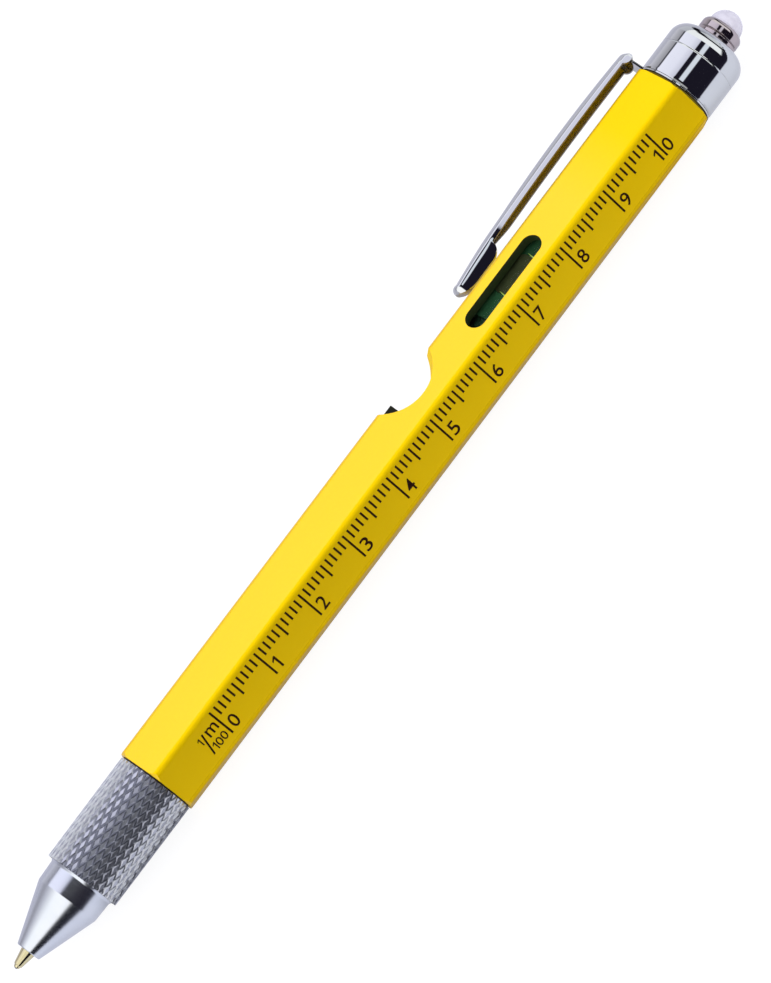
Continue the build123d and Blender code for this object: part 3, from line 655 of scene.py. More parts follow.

# %% [markdown]
# ## Clear finishes
#
# The vial is acrylic tube, the lamp is clear epoxy, and the liquid is water with a green dye. Behind
# the slot a real tube is dark and almost unseen, so it is drawn see-through by its alpha, with a dark
# green tint that paints its shade. Liquid, air and lamp let only part of the light through and scatter
# the rest, because a thick drop of dyed water or a lens full of small reflections looks solid at this size.

# %% Clear finishes
# Acrylic tube in front of green liquid: a faint gloss, with painted shade in dark green.
clear_tube = grained(
    "clear_acrylic_tube",
    "1A241A",
    "161E16",
    3.0,
    roughness=0.03,
    spread=0.01,
    depth=0.0,
    **{"Alpha": 0.12, "IOR": 1.49, "Specular IOR Level": 0.15},
)
# Water with green dye: deep green, barely lit from inside.
green_liquid = grained(
    "green_dyed_liquid",
    "3C6A44",
    "2E6240",
    4.0,
    roughness=0.04,
    spread=0.01,
    depth=0.0,
    **{"Transmission Weight": 0.15, "IOR": 1.33, "Specular IOR Level": 0.05},
)
# The air pocket: painted olive grey, the shade of the dark far wall seen through it.
air_grey = grained(
    "air_in_the_level",
    "525A3A",
    "4A5034",
    2.0,
    roughness=0.3,
    spread=0.05,
    depth=0.0,
    **{"Transmission Weight": 0.15, "IOR": 1.1, "Specular IOR Level": 0.05},
)
# Liquid climbing the tube, which gathers the light: a bright yellow-green thread.
bright_edge = grained(
    "bright_edge_of_the_bubble", "DCF884", "B8E85A", 0.5, roughness=0.2, spread=0.05, depth=0.0
)
# Clear epoxy of the lamp: milky white, with a faint violet cast.
lamp_epoxy = grained(
    "clear_lamp_epoxy",
    "E8E4F0",
    "D8D2E2",
    1.2,
    roughness=0.20,
    spread=0.08,
    depth=0.003,
    **{"Transmission Weight": 0.12, "IOR": 1.53},
)
print("clear finishes: tube, liquid, air, bubble edge, lamp")

# %% [markdown]
# ## Plastics, rubber and inks
#
# These are plain coloured surfaces, and apart from the printing ink and the level's seat they are out
# of sight. The ink is baked on and dries without gloss, so that the ruler reads from any side.

# %% Plastics, rubber and inks
# Moulded plastics, rubber and board: black, white, soft black and green, all slightly glossy.
black_plastic = grained("moulded_black_plastic", "16161A", "101014", 0.5, roughness=0.5)
white_plastic = grained("moulded_white_plastic", "E4E3DC", "D8D6CE", 0.8, roughness=0.45)
black_rubber = grained("black_rubber", "141414", "0E0E0E", 0.4, roughness=0.7)
laminate = grained("green_board_laminate", "1E6B3C", "185A32", 0.5, roughness=0.5)
# Walls round the vial, painted dark as shade, and the vial's plugs, painted dark green as they look in shade
# behind the liquid: what makes the window dark from wall to wall.
seat_black = grained("level_seat_in_painted_shade", "2E3E18", "222E12", 0.6, roughness=0.6, spread=0.08)
plug_green = grained("dark_green_plug", "2C5A3C", "244A34", 0.8, roughness=0.4)
# Baked printing ink: warm near-black without gloss. The refill's paste is blue-black.
MATT_INK = {"roughness": 0.6, "spread": 0.05, "depth": 0.0, "Specular IOR Level": 0.05}
print_ink = grained("baked_printing_ink", "2C1206", "200C04", 0.3, **MATT_INK)
pen_ink = grained("black_ink_paste", "08080F", "04040A", 0.6, roughness=0.3)
print("all finishes:", len(bpy.data.materials) - others)

# %% [markdown]
# ## Dressing the carried nodes
#
# Every node of the frame keeps its shape and gets the finish of its material slot. Most of them are
# inside the pen and are seen only when it is taken apart. The vial's two plugs are white plastic, but
# behind green liquid and in the slot's shade they look dark green, so they are painted that tint and
# shade, and are told by their names.

# %% Finishes for the CAD nodes
FINISHES = {
    "barrel_yellow": yellow,
    "chrome": chrome,
    "satin_steel": knurl_nickel,
    "satin_aluminium": satin_aluminium,
    "dark_steel": dark_steel,
    "black_plastic": black_plastic,
    "clear_tube": clear_tube,
    "green_liquid": green_liquid,
    "lamp_clear": lamp_epoxy,
    "nickel_silver": nickel_silver,
    "ball_steel": ball_steel,
    "refill_steel": plain_steel,
    "ink_black": pen_ink,
    "white_plastic": white_plastic,
    "brass": brass,
    "spring_steel": plain_steel,
    "black_rubber": black_rubber,
    "cell_steel": plated_steel,
    "board_green": laminate,
}
SLOT_OF = {part["node"]: part["material_slot"] for part in frame["record"]["subparts"]}
for name, node in frame["nodes"].items():
    is_vial_plug = name.startswith("vial") and name.endswith("_plug")
    node.data.materials.clear()
    node.data.materials.append(plug_green if is_vial_plug else FINISHES[SLOT_OF[name]])
print("dressed", len(SLOT_OF), "nodes with", len(FINISHES), "finishes")

# %% [markdown]
# ## Turned pieces
#
# Cap, nose, lamp button, washer and refill point are all turned: a profile spun about the axis. The
# CAD model has the same profiles with flat facets, which a mirror finish would show, so they are spun
# again in fine steps with their edges rounded. A profile lists (x, radius) corners in millimetres,
# and a third number rounds that corner.


# %% Helpers for profiles
def rounded(profile, steps=20):
    """The profile with an arc at each corner that has a third number, its radius."""
    points = []
    count = len(profile)
    for index, corner in enumerate(profile):
        here = Vector(corner[:2])
        if len(corner) < 3:
            points.append(here)
            continue
        before = (Vector(profile[index - 1][:2]) - here).normalized()
        after = (Vector(profile[(index + 1) % count][:2]) - here).normalized()
        half = before.angle(after) / 2
        centre = here + (before + after).normalized() * corner[2] / math.sin(half)
        begin = here + before * corner[2] / math.tan(half) - centre
        sweep = begin.angle_signed(here + after * corner[2] / math.tan(half) - centre)
        for step in range(steps + 1):
            points.append(centre + Matrix.Rotation(-sweep * step / steps, 2) @ begin)
    return points


def supported(points, near=0.03):
    """The outline with a point close to both ends of each long straight, so that it shades flat."""
    held = []
    for here, after in zip(points, points[1:] + points[:1]):
        here, after = Vector(here), Vector(after)
        held.append(here)
        run = after - here
        if run.length > 6 * near:
            held += [here + run.normalized() * near, after - run.normalized() * near]
    return held


print("a rounded corner has", len(rounded([(0, 0), (0, 1, 0.1), (1, 0)])) - 2, "points")


# %% Helpers for meshes
def make_object(name, mesh, material):
    """Links a mesh as an object with one material."""
    mesh.materials.append(material)
    obj = bpy.data.objects.new(name, mesh)
    scene.collection.objects.link(obj)
    return obj


def shade(mesh, sharp_degrees=32):
    """Smooth shading, with edges sharper than the angle kept crisp."""
    mesh.shade_smooth()
    mesh.set_sharp_from_angle(angle=math.radians(sharp_degrees))


def mesh_of(bm, name, sharp_degrees=32):
    """Turns a finished bmesh into a shaded mesh and frees it."""
    mesh = bpy.data.meshes.new(name)
    bm.to_mesh(mesh)
    bm.free()
    shade(mesh, sharp_degrees)
    return mesh


def join_rows(bm, rows):
    """Faces between neighbouring closed rows of vertices that all have the same number of them."""
    made = []
    for first, second in zip(rows, rows[1:]):
        for here in range(len(first)):
            after = (here + 1) % len(first)
            made.append(bm.faces.new((first[here], first[after], second[after], second[here])))
    return made


def spun_mesh(name, profile, segments=160):
    """A closed profile of (x, radius) millimetres spun about the pen's axis."""
    bm = bmesh.new()
    rings = []
    for x, radius in profile:
        on_the_axis = radius < 1e-6
        ring = []
        for step in range(1 if on_the_axis else segments):
            turn = 2 * math.pi * step / segments
            across = 0 if on_the_axis else -radius * math.sin(turn)
            up = 0 if on_the_axis else radius * math.cos(turn)
            ring.append(bm.verts.new((x * MM, across * MM, (AXIS_HEIGHT + up) * MM)))
        rings.append(ring)
    for first, second in zip(rings, rings[1:] + rings[:1]):
        for step in range(segments):
            after = (step + 1) % segments
            corners = []
            for ring, place in ((first, step), (second, step), (second, after), (first, after)):
                vertex = ring[place % len(ring)]
                if vertex not in corners:
                    corners.append(vertex)
            if len(corners) > 2:
                bm.faces.new(corners)
    bmesh.ops.recalc_face_normals(bm, faces=bm.faces)
    return mesh_of(bm, name)


print("mesh helpers ready")


# %% Helpers for pieces that stand for CAD nodes
def stand_for(piece, node, body):
    """The piece takes the CAD node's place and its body."""
    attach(piece, body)
    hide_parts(node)


def turned_piece(name, node, body, profile, segments=160):
    """A spun piece that takes a CAD node's place, finish and body."""
    mesh = spun_mesh(name, supported(rounded(profile)), segments)
    piece = make_object(name, mesh, FINISHES[SLOT_OF[node]])
    stand_for(piece, node, body)
    print(name, "%.2f to %.2f mm," % span(node)[:2], len(piece.data.polygons), "faces")
    return piece


print("a turned piece has 160 sides unless it says otherwise")

# %% [markdown]
# ## The chrome cap
#
# The cap is two turned pieces that meet at a hairline seam: a sleeve, and a dome with a full
# shoulder. Both edges fall away by 0.055 mm at the seam, which is what draws the seam line. By the
# clip's ring the sleeve steps in, so that a dark line parts the two.

# %% Cap
CAP_BORE = 4.45
SEAM_DROP = 0.055
INSERT_ROOM = 0.5
sleeve_start, seam, cap_radius = span("cap_sleeve")
turned_piece(
    "cap_sleeve_shell",
    "cap_sleeve",
    "barrel",
    [
        (sleeve_start, CAP_BORE),
        (sleeve_start, cap_radius - 0.35),
        (sleeve_start + 0.06, cap_radius - 0.35),
        (sleeve_start + 0.06, cap_radius - 0.10, 0.03),
        (sleeve_start + 0.40, cap_radius, 1.2),
        (seam - 0.15, cap_radius, 0.35),
        (seam, cap_radius - SEAM_DROP),
        (seam, CAP_BORE + INSERT_ROOM),
        (seam - 0.85, CAP_BORE + INSERT_ROOM),
        (seam - 0.85, CAP_BORE),
    ],
    256,
)
SHOULDER = 2.3
DOME_HOLE = 3.30
DOME_WALL = 1.5
dome_start, dome_face, dome_radius = span("cap_dome")
turned_piece(
    "cap_dome_shell",
    "cap_dome",
    "barrel",
    [
        (seam, dome_radius - SEAM_DROP),
        (seam + 0.06, dome_radius, 0.06),
        (dome_face, dome_radius, SHOULDER),
        (dome_face, DOME_HOLE, 0.12),
        (dome_face - DOME_WALL, DOME_HOLE),
        (dome_face - DOME_WALL, CAP_BORE),
        (dome_start, CAP_BORE),
        (dome_start, CAP_BORE + INSERT_ROOM - 0.04),
        (seam, CAP_BORE + INSERT_ROOM - 0.04),
    ],
    256,
)

# %% [markdown]
# ## The lamp button
#
# A grooved collar sticks out of the dome and carries the lamp: pressing it closes the switch. Only
# the collar shows, but the flange behind the wall is kept, because the button moves.

# %% Lamp button
COLLAR_RADIUS = 3.15
FLANGE_BORE, LAMP_HOLE = 2.95, 2.53
FLANGE_THICKNESS = 0.95
GROOVE_HALF = 0.16
button_back, collar_end, flange_radius = span("lamp_button")
groove = dome_face + 0.85
collar = turned_piece(
    "lamp_button_collar",
    "lamp_button",
    "lamp",
    [
        (button_back, FLANGE_BORE),
        (button_back, flange_radius),
        (button_back + FLANGE_THICKNESS, flange_radius),
        (button_back + FLANGE_THICKNESS, COLLAR_RADIUS),
        (groove - GROOVE_HALF, COLLAR_RADIUS, 0.10),
        (groove, COLLAR_RADIUS - GROOVE_HALF),
        (groove + GROOVE_HALF, COLLAR_RADIUS, 0.10),
        (collar_end - 0.45, COLLAR_RADIUS, 0.9),
        (collar_end, COLLAR_RADIUS - 0.38, 0.25),
        (collar_end, LAMP_HOLE, 0.06),
        (button_back + FLANGE_THICKNESS + 0.1, LAMP_HOLE),
        (button_back + FLANGE_THICKNESS + 0.1, FLANGE_BORE),
    ],
    192,
)
collar.data.materials[0] = button_nickel

# %% [markdown]
# ## The lamp
#
# A 5 mm light-emitting diode: an epoxy body with a round end, and inside it a cup on one lead, a
# thinner post on the other and a hair of wire between. The cup and post show as a pale shadow.

# %% Lamp
LED_RADIUS = 2.5
RIM = 1.0
ROUND_STEPS = 24
led_back, led_front, led_flange = span("lamp_led")
led_profile = [
    (led_back, 0),
    (led_back, led_flange, 0.1),
    (led_back + RIM, led_flange, 0.1),
    (led_back + RIM, LED_RADIUS),
]
for step in range(ROUND_STEPS + 1):
    turn = math.radians(90 * step / ROUND_STEPS)
    radius = LED_RADIUS * math.cos(turn) if step < ROUND_STEPS else 0
    led_profile.append((led_front - LED_RADIUS + LED_RADIUS * math.sin(turn), radius))
turned_piece("lamp_led_body", "lamp_led", "lamp", led_profile, 128)


# %% Metal inside the lamp
def lamp_part(name, lumps):
    """Boxes given by x, y, z spans in millimetres, y and z from the axis, with broken edges."""
    bm = bmesh.new()
    for x0, x1, y0, y1, z0, z1 in lumps:
        made = bmesh.ops.create_cube(bm, size=1.0)["verts"]
        bmesh.ops.scale(bm, vec=((x1 - x0) * MM, (y1 - y0) * MM, (z1 - z0) * MM), verts=made)
        middle = Vector(((x0 + x1) / 2, (y0 + y1) / 2, AXIS_HEIGHT + (z0 + z1) / 2)) * MM
        bmesh.ops.translate(bm, vec=middle, verts=made)
    bmesh.ops.bevel(bm, geom=bm.edges[:], offset=0.05 * MM, segments=2, affect="EDGES")
    piece = make_object(name, mesh_of(bm, name), plated_steel)
    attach(piece, "lamp")
    return piece


FEET, CUP, CUP_RIM = led_back + 1.2, led_front - 2.6, led_front - 2.2
CUP_LEAD = (FEET, CUP, -1.52, -0.2, -0.35, 0.35)
CUP_HEAD = (CUP, CUP_RIM, -1.3, 0.5, -0.55, 0.55)
POST = (FEET, led_front - 2.4, 1.02, 1.52, -0.25, 0.25)
BOND_WIRE = (CUP_RIM, led_front - 2.14, -0.5, 1.3, -0.04, 0.04)
lamp_metal = lamp_part("lamp_anvil_and_post", [CUP_LEAD, CUP_HEAD, POST, BOND_WIRE])
print("lamp metal:", len(lamp_metal.data.polygons), "faces")

# %% [markdown]
# ## The nose
#
# The nose is a plain cone that runs into a short band, all satin from the lathe. Where the band meets
# the grip it flares by a fifth of a millimetre. Inside it is bored in steps, for the drive collar, the
# refill and the refill's point.

# %% Nose
BAND_LENGTH = 3.3
MOUTH, THROAT, TAIL_BORE, GRIP_BORE = 1.225, 1.75, 2.9, 4.05
nose_mouth, nose_tail, nose_radius = span("nose_cone")
grip_front, grip_back, grip_radius = span("grip_sleeve")
turned_piece(
    "nose_cone_turned",
    "nose_cone",
    "grip",
    [
        (nose_mouth, MOUTH, 0.06),
        (nose_mouth, 1.80, 0.25),
        (grip_front - BAND_LENGTH, nose_radius - 0.10, 0.5),
        (grip_front - 0.35, nose_radius, 0.3),
        (grip_front, nose_radius + 0.22),
        (grip_front, GRIP_BORE),
        (nose_tail, GRIP_BORE),
        (nose_tail, TAIL_BORE),
        (nose_tail - 1.5, TAIL_BORE),
        (nose_tail - 1.5, THROAT),
        (nose_mouth + 3.4, THROAT),
        (nose_mouth + 3.4, MOUTH),
    ],
    192,
)

# %% [markdown]
# ## Refill point and ball
#
# The point of the refill is nickel silver, spun over a small ball so that a sliver of the ball shows:
# a short seat, a step, and a long taper to the refill's own radius.

# %% Refill point and ball
TAPER_END = 3.24
TUBE_FIT = 0.935
BALL_STEPS = 32
tip_front, tip_back, refill_radius = span("refill_tip")
turned_piece(
    "refill_point",
    "refill_tip",
    "refill",
    [
        (tip_front, 0),
        (tip_front, 0.36, 0.05),
        (tip_front + 0.32, 0.50, 0.1),
        (tip_front + 0.42, 0.62, 0.06),
        (tip_front + TAPER_END, refill_radius, 0.1),
        (tip_front + TAPER_END, TUBE_FIT),
        (tip_back, TUBE_FIT),
        (tip_back, 0),
    ],
    96,
)
ball_front, ball_back, ball_radius = span("writing_ball")
ball_profile = []
for step in range(BALL_STEPS + 1):
    turn = math.pi * step / BALL_STEPS
    radius = ball_radius * math.sin(turn) if 0 < step < BALL_STEPS else 0
    ball_profile.append(((ball_front + ball_back) / 2 - ball_radius * math.cos(turn), radius))
turned_piece("writing_ball_round", "writing_ball", "refill", ball_profile, 64)

# %% [markdown]
# ## The joint washer
#
# A thin dark ring parts the turning grip from the still barrel. It sits a little back, so that the
# joint reads as a black line.

# %% Joint washer
WASHER_BORE = 3.65
washer_front, washer_back, washer_radius = span("joint_washer")
turned_piece(
    "joint_washer_ring",
    "joint_washer",
    "barrel",
    [
        (washer_front, WASHER_BORE),
        (washer_front, washer_radius, 0.04),
        (washer_back, washer_radius, 0.04),
        (washer_back, WASHER_BORE),
    ],
    128,
)

# %% [markdown]
# ## Growing repeated shapes
#
# What repeats is grown with Geometry Nodes: the knurl's diamonds and the ruler's marks. A tree is
# built with named inputs, its sizes are handed in on the modifier, and the result is turned into a
# plain mesh, so that nothing is left to compute when the piece moves or is exported.


# %% Helpers for Geometry Nodes
def new_tree(name, sizes):
    """A geometry tree with one float or integer input for each named size, and its group input."""
    tree = bpy.data.node_groups.new(name, "GeometryNodeTree")
    for size, value in sizes.items():
        kind = "NodeSocketInt" if isinstance(value, int) else "NodeSocketFloat"
        tree.interface.new_socket(size, in_out="INPUT", socket_type=kind)
    tree.interface.new_socket("Geometry", in_out="OUTPUT", socket_type="NodeSocketGeometry")
    return tree, add(tree, "NodeGroupInput").outputs


def plain_mesh(holder):
    """The mesh that an object's modifiers or curve make. Its modifiers and the object are removed."""
    mesh = bpy.data.meshes.new_from_object(holder.evaluated_get(bpy.context.evaluated_depsgraph_get()))
    holder.modifiers.clear()
    bpy.data.objects.remove(holder)
    return mesh


def grow(name, tree, sizes, geometry, material):
    """Ends the tree, runs it with the sizes given, and returns the result as a plain object."""
    real = add(tree, "GeometryNodeRealizeInstances", {0: geometry})
    painted = add(tree, "GeometryNodeSetMaterial", {"Geometry": real.outputs[0], "Material": material})
    add(tree, "NodeGroupOutput", {0: painted.outputs[0]})
    holder = bpy.data.objects.new(name + "_holder", bpy.data.meshes.new(name + "_holder"))
    scene.collection.objects.link(holder)
    modifier = holder.modifiers.new("grow", "NODES")
    modifier.node_group = tree
    for item in tree.interface.items_tree:
        if item.in_out == "INPUT":
            modifier[item.identifier] = sizes[item.name]
    mesh = plain_mesh(holder)
    mesh.name = name
    mesh.materials.clear()
    return make_object(name, mesh, material)


print("node trees can grow now")

# %% [markdown]
# ## One diamond of the knurl
#
# Two sets of grooves cross on the grip and leave rows of long diamonds, 2.9 mm by 0.95 mm. Each is a
# four-sided cone with a cut-off top, so it has six faces only. Its sizes are inputs of the tree.

# %% Knurl: sizes and one diamond
COLUMNS = 37
DIAMOND_HALF = 1.45
DIAMOND_HEIGHT = 0.30
KNURL = {
    "Columns": COLUMNS,
    "Rows": 13,
    "Row Pitch": DIAMOND_HALF * MM,
    "Radius": (grip_radius - DIAMOND_HEIGHT) * MM,
    "Half Length": DIAMOND_HALF * MM,
    "Half Width": math.pi * (grip_radius - DIAMOND_HEIGHT / 2) / COLUMNS * MM,
    "Height": DIAMOND_HEIGHT * MM,
    "Flat Share": 0.56,
    "Taper Share": -0.0012,
}
knurl_tree, knurl_in = new_tree("diamond knurl", KNURL)
cone_sizes = {"Vertices": 4, "Radius Top": knurl_in["Flat Share"], "Radius Bottom": 1.0, "Depth": 1.0}
diamond = add(knurl_tree, "GeometryNodeMeshCone", cone_sizes)
diamond_sizes = {0: knurl_in["Half Length"], 1: knurl_in["Half Width"], 2: knurl_in["Height"]}
diamond_size = add(knurl_tree, "ShaderNodeCombineXYZ", diamond_sizes)
fitted_sizes = {"Geometry": diamond.outputs[0], "Scale": diamond_size.outputs[0]}
fitted = add(knurl_tree, "GeometryNodeTransform", fitted_sizes)
print("diamond %.1f by %.2f mm" % (2 * DIAMOND_HALF, 2 * KNURL["Half Width"] / MM))

# %% [markdown]
# ## A ring of diamonds
#
# A circle with one vertex for each column carries the ring. A diamond points its height away from the
# centre, which is the direction of the vertex itself, and its length along the circle's own axis.

# %% Knurl: one ring
vertex_place = add(knurl_tree, "GeometryNodeInputPosition").outputs[0]
circle_sizes = {"Vertices": knurl_in["Columns"], "Radius": knurl_in["Radius"]}
circle = add(knurl_tree, "GeometryNodeMeshCircle", circle_sizes)
outwards = add(knurl_tree, "FunctionNodeAlignRotationToVector", {"Vector": vertex_place}, axis="Z")
lengthwise = add(
    knurl_tree,
    "FunctionNodeAlignRotationToVector",
    {"Rotation": outwards.outputs[0], "Vector": (0, 0, 1)},
    axis="X",
    pivot_axis="Z",
)
on_circle_points = {
    "Points": circle.outputs[0],
    "Instance": fitted.outputs[0],
    "Rotation": lengthwise.outputs[0],
}
one_ring = add(knurl_tree, "GeometryNodeInstanceOnPoints", on_circle_points)
print("diamonds in a ring:", COLUMNS)

# %% [markdown]
# ## Rings along the grip
#
# The ring is placed again and again on a line, every second one turned by half a diamond, so that the
# tips of one row fit between those of the next. Each ring is a hair smaller than the one before,
# because the grip tapers towards the nose. At the end the whole stack is laid along the pen.

# %% Knurl: all rings
FIRST_RING = 0.35
row_step = add(knurl_tree, "ShaderNodeCombineXYZ", {2: knurl_in["Row Pitch"]})
row_places = {"Count": knurl_in["Rows"], "Offset": row_step.outputs[0]}
row_line = add(knurl_tree, "GeometryNodeMeshLine", row_places)
row = add(knurl_tree, "GeometryNodeInputIndex").outputs[0]
odd = add(knurl_tree, "ShaderNodeMath", {0: row, 1: 2.0}, operation="MODULO")
half_turn = add(knurl_tree, "ShaderNodeMath", {0: math.pi, 1: knurl_in["Columns"]}, operation="DIVIDE")
shift = {0: odd.outputs[0], 1: half_turn.outputs[0]}
shifted = add(knurl_tree, "ShaderNodeMath", shift, operation="MULTIPLY")
row_turn = add(knurl_tree, "ShaderNodeCombineXYZ", {2: shifted.outputs[0]})
taper = {0: row, 1: knurl_in["Taper Share"], 2: 1.0}
row_size = add(knurl_tree, "ShaderNodeMath", taper, operation="MULTIPLY_ADD")
on_line_points = {
    "Points": row_line.outputs[0],
    "Instance": one_ring.outputs[0],
    "Rotation": row_turn.outputs[0],
    "Scale": row_size.outputs[0],
}
rows_made = add(knurl_tree, "GeometryNodeInstanceOnPoints", on_line_points)
along_pen = {
    "Geometry": rows_made.outputs[0],
    "Translation": ((grip_back + FIRST_RING) * MM, 0, AXIS_HEIGHT * MM),
    "Rotation": (0, math.radians(-90), 0),
}
laid = add(knurl_tree, "GeometryNodeTransform", along_pen)
knurl = grow("grip_diamonds", knurl_tree, KNURL, laid.outputs[0], knurl_nickel)
print("diamonds:", KNURL["Columns"] * KNURL["Rows"])

# %% [markdown]
# ## The finished grip
#
# What sticks out past the grip's ends is cut off square, and a sleeve with painted shade, nearly black,
# fills the bottoms of the grooves. Both become one mesh with two materials, and the sleeve's faces ask
# for the second one before they are added, so that they keep it.


# %% Grip cut to length
def cut_square(bm, x, keep_side):
    """Cuts the mesh at x and closes the cut; keep_side is 1 to keep what lies beyond x, else -1."""
    cut = bmesh.ops.bisect_plane(
        bm,
        geom=bm.verts[:] + bm.edges[:] + bm.faces[:],
        dist=1e-7,
        plane_co=(x * MM, 0, 0),
        plane_no=(-keep_side, 0, 0),
        clear_outer=True,
    )
    rim = [item for item in cut["geom_cut"] if isinstance(item, bmesh.types.BMEdge)]
    bmesh.ops.holes_fill(bm, edges=rim, sides=0)


END_INSET = 0.02
CORE_BORE = 4.1
core_profile = [
    (grip_front, CORE_BORE),
    (grip_front, grip_radius - 0.36, 0.05),
    (grip_back, grip_radius - 0.28),
    (grip_back, CORE_BORE),
]
grip_bm = bmesh.new()
grip_bm.from_mesh(knurl.data)
cut_square(grip_bm, grip_front + END_INSET, 1)
cut_square(grip_bm, grip_back - END_INSET, -1)
core_mesh = spun_mesh("grip_sleeve_core", supported(rounded(core_profile)))
core_mesh.polygons.foreach_set("material_index", [1] * len(core_mesh.polygons))
grip_bm.from_mesh(core_mesh)
grip_bm.to_mesh(knurl.data)
grip_bm.free()
# The core's faces get the painted shade of the groove bottoms.
knurl.data.materials.append(painted_groove_shade)
knurl.name = "knurled_grip"
shade(knurl.data, 20)
stand_for(knurl, "grip_sleeve", "grip")
print("grip faces:", len(knurl.data.polygons))

# %% [markdown]
# ## The ruler's marks
#
# The ruler is printed: dark lines at each millimetre, longer at five and longest at ten. A line is a
# thin block. Millimetres are a row of 101 short blocks; every fifth and every tenth line then gets one
# more block below it that makes it longer. The ink stands a hundredth of a millimetre proud of the
# face, as real ink does.

# %% Ruler marks
RULER_ZERO = -48.5
RULER_TOP = 2.68
RULER = {
    "Marks": 101,
    "Fives": 21,
    "Tens": 11,
    "Line Width": 0.31 * MM,
    "Short": 1.60 * MM,
    "Five Adds": 0.85 * MM,
    "Ten Adds": 2.20 * MM,
    "Ink": 0.024 * MM,
}
RULER_FOOT = RULER_TOP - (RULER["Short"] + RULER["Five Adds"] + RULER["Ten Adds"]) / MM
FACE_ANGLE = math.radians(60)
FACE_MIDDLE = (0, -FACE_RADIUS * COS30 * MM, (AXIS_HEIGHT + FACE_RADIUS / 2) * MM)
ruler_tree, ruler_in = new_tree("ruler marks", RULER)
marks = add(ruler_tree, "GeometryNodeJoinGeometry")
hung_from = RULER_TOP * MM
for how_many, pitch, length in (("Marks", 1, "Short"), ("Fives", 5, "Five Adds"), ("Tens", 10, "Ten Adds")):
    row_of_points = {
        "Count": ruler_in[how_many],
        "Start Location": (RULER_ZERO * MM, hung_from - RULER[length] / 2, 0),
        "Offset": (pitch * MM, 0, 0),
    }
    block_sizes = {0: ruler_in["Line Width"], 1: ruler_in[length], 2: ruler_in["Ink"]}
    line = add(ruler_tree, "GeometryNodeMeshLine", row_of_points)
    block_size = add(ruler_tree, "ShaderNodeCombineXYZ", block_sizes)
    block = add(ruler_tree, "GeometryNodeMeshCube", {"Size": block_size.outputs[0]})
    blocks = {"Points": line.outputs[0], "Instance": block.outputs[0]}
    printed_row = add(ruler_tree, "GeometryNodeInstanceOnPoints", blocks)
    ruler_tree.links.new(printed_row.outputs[0], marks.inputs[0])
    hung_from -= RULER[length]
face_move = {"Geometry": marks.outputs[0], "Translation": FACE_MIDDLE, "Rotation": (FACE_ANGLE, 0, 0)}
on_face = add(ruler_tree, "GeometryNodeTransform", face_move)
ticks = grow("ruler_marks", ruler_tree, RULER, on_face.outputs[0], print_ink)
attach(ticks, "barrel")
print("ruler blocks:", len(ticks.data.polygons) // 6)

# %% [markdown]
# ## Letters on a face
#
# Text is laid flat, made a mesh, brought to the height and width that the print has, and then turned
# onto the face in one move. The built-in letters have no flag on their figure 1, so that figure is
# drawn by its corners, as the slash of the unit is.


# %% Helpers for printed figures
FACE_TURN = Matrix.Translation(FACE_MIDDLE) @ Matrix.Rotation(FACE_ANGLE, 4, "X")
LETTER_WEIGHT = 0.007
INK_HALF = 0.01


def printed(words, height, width, left, foot):
    """Flat text as a mesh on the ruler face: its height, width, left edge and foot in millimetres."""
    curve = bpy.data.curves.new("words", "FONT")
    curve.body = words
    curve.size = 1.0
    curve.resolution_u = 6
    curve.extrude = INK_HALF
    curve.offset = LETTER_WEIGHT
    holder = bpy.data.objects.new("words", curve)
    scene.collection.objects.link(holder)
    mesh = plain_mesh(holder)
    low = Vector([min(v.co[i] for v in mesh.vertices) for i in range(3)])
    high = Vector([max(v.co[i] for v in mesh.vertices) for i in range(3)])
    wide = width / (high.x - low.x)
    tall = height / (high.y - low.y)
    flat = Matrix.Diagonal((wide * MM, tall * MM, 1.0 * MM, 1)) @ Matrix.Translation((-low.x, -low.y, 0))
    mesh.transform(FACE_TURN @ Matrix.Translation(Vector((left, foot, 0)) * MM) @ flat)
    return mesh


def inked(corners):
    """A flat printed shape as a mesh on the ruler face, from its corners in millimetres."""
    bm = bmesh.new()
    levels = (-INK_HALF, INK_HALF)
    outlines = [[bm.verts.new(Vector((x, y, level)) * MM) for x, y in corners] for level in levels]
    join_rows(bm, outlines)
    for outline in outlines:
        bm.faces.new(outline)
    bmesh.ops.recalc_face_normals(bm, faces=bm.faces)
    mesh = bpy.data.meshes.new("inked")
    bm.to_mesh(mesh)
    bm.free()
    mesh.transform(FACE_TURN)
    return mesh


def figure_one(height, left, foot):
    """The figure 1 with its flag."""
    outline = [(0.23, 0), (0.385, 0), (0.385, 1), (0.275, 1), (0.0, 0.80), (0.0, 0.66), (0.23, 0.81)]
    return inked([(left + x * height, foot + y * height) for x, y in outline])


print("print stands %.2f mm proud" % INK_HALF)

# %% [markdown]
# ## Figures and unit
#
# Each centimetre has its number on the cap side of the long mark, at its foot, upright when the tip
# points left. Left of zero stands the unit, a hundredth of a metre, written as a small fraction and
# an m. Places are millimetres from the ruler's zero and from the foot of its long marks.

# %% Figures and unit
FIGURE, FIGURE_WIDTH, FIGURE_GAP = 2.1, 1.32, 0.72
TEN_LEFT, TEN_ZERO_LEFT, TEN_ZERO_WIDTH = 98.55, 100.5, 1.35
UNIT, UNIT_ONE = 1.34, 1.27
SLASH = [(-3.92, 0.23), (-3.64, 0.23), (-2.81, 3.57), (-3.09, 3.57)]
sheets = [
    figure_one(FIGURE, RULER_ZERO + 10 + FIGURE_GAP, RULER_FOOT),
    figure_one(FIGURE, RULER_ZERO + TEN_LEFT, RULER_FOOT),
]
for centimetre in (0, 2, 3, 4, 5, 6, 7, 8, 9):
    left = RULER_ZERO + 10 * centimetre + FIGURE_GAP
    sheets.append(printed(str(centimetre), FIGURE, FIGURE_WIDTH, left, RULER_FOOT))
sheets.append(printed("0", FIGURE, TEN_ZERO_WIDTH, RULER_ZERO + TEN_ZERO_LEFT, RULER_FOOT))
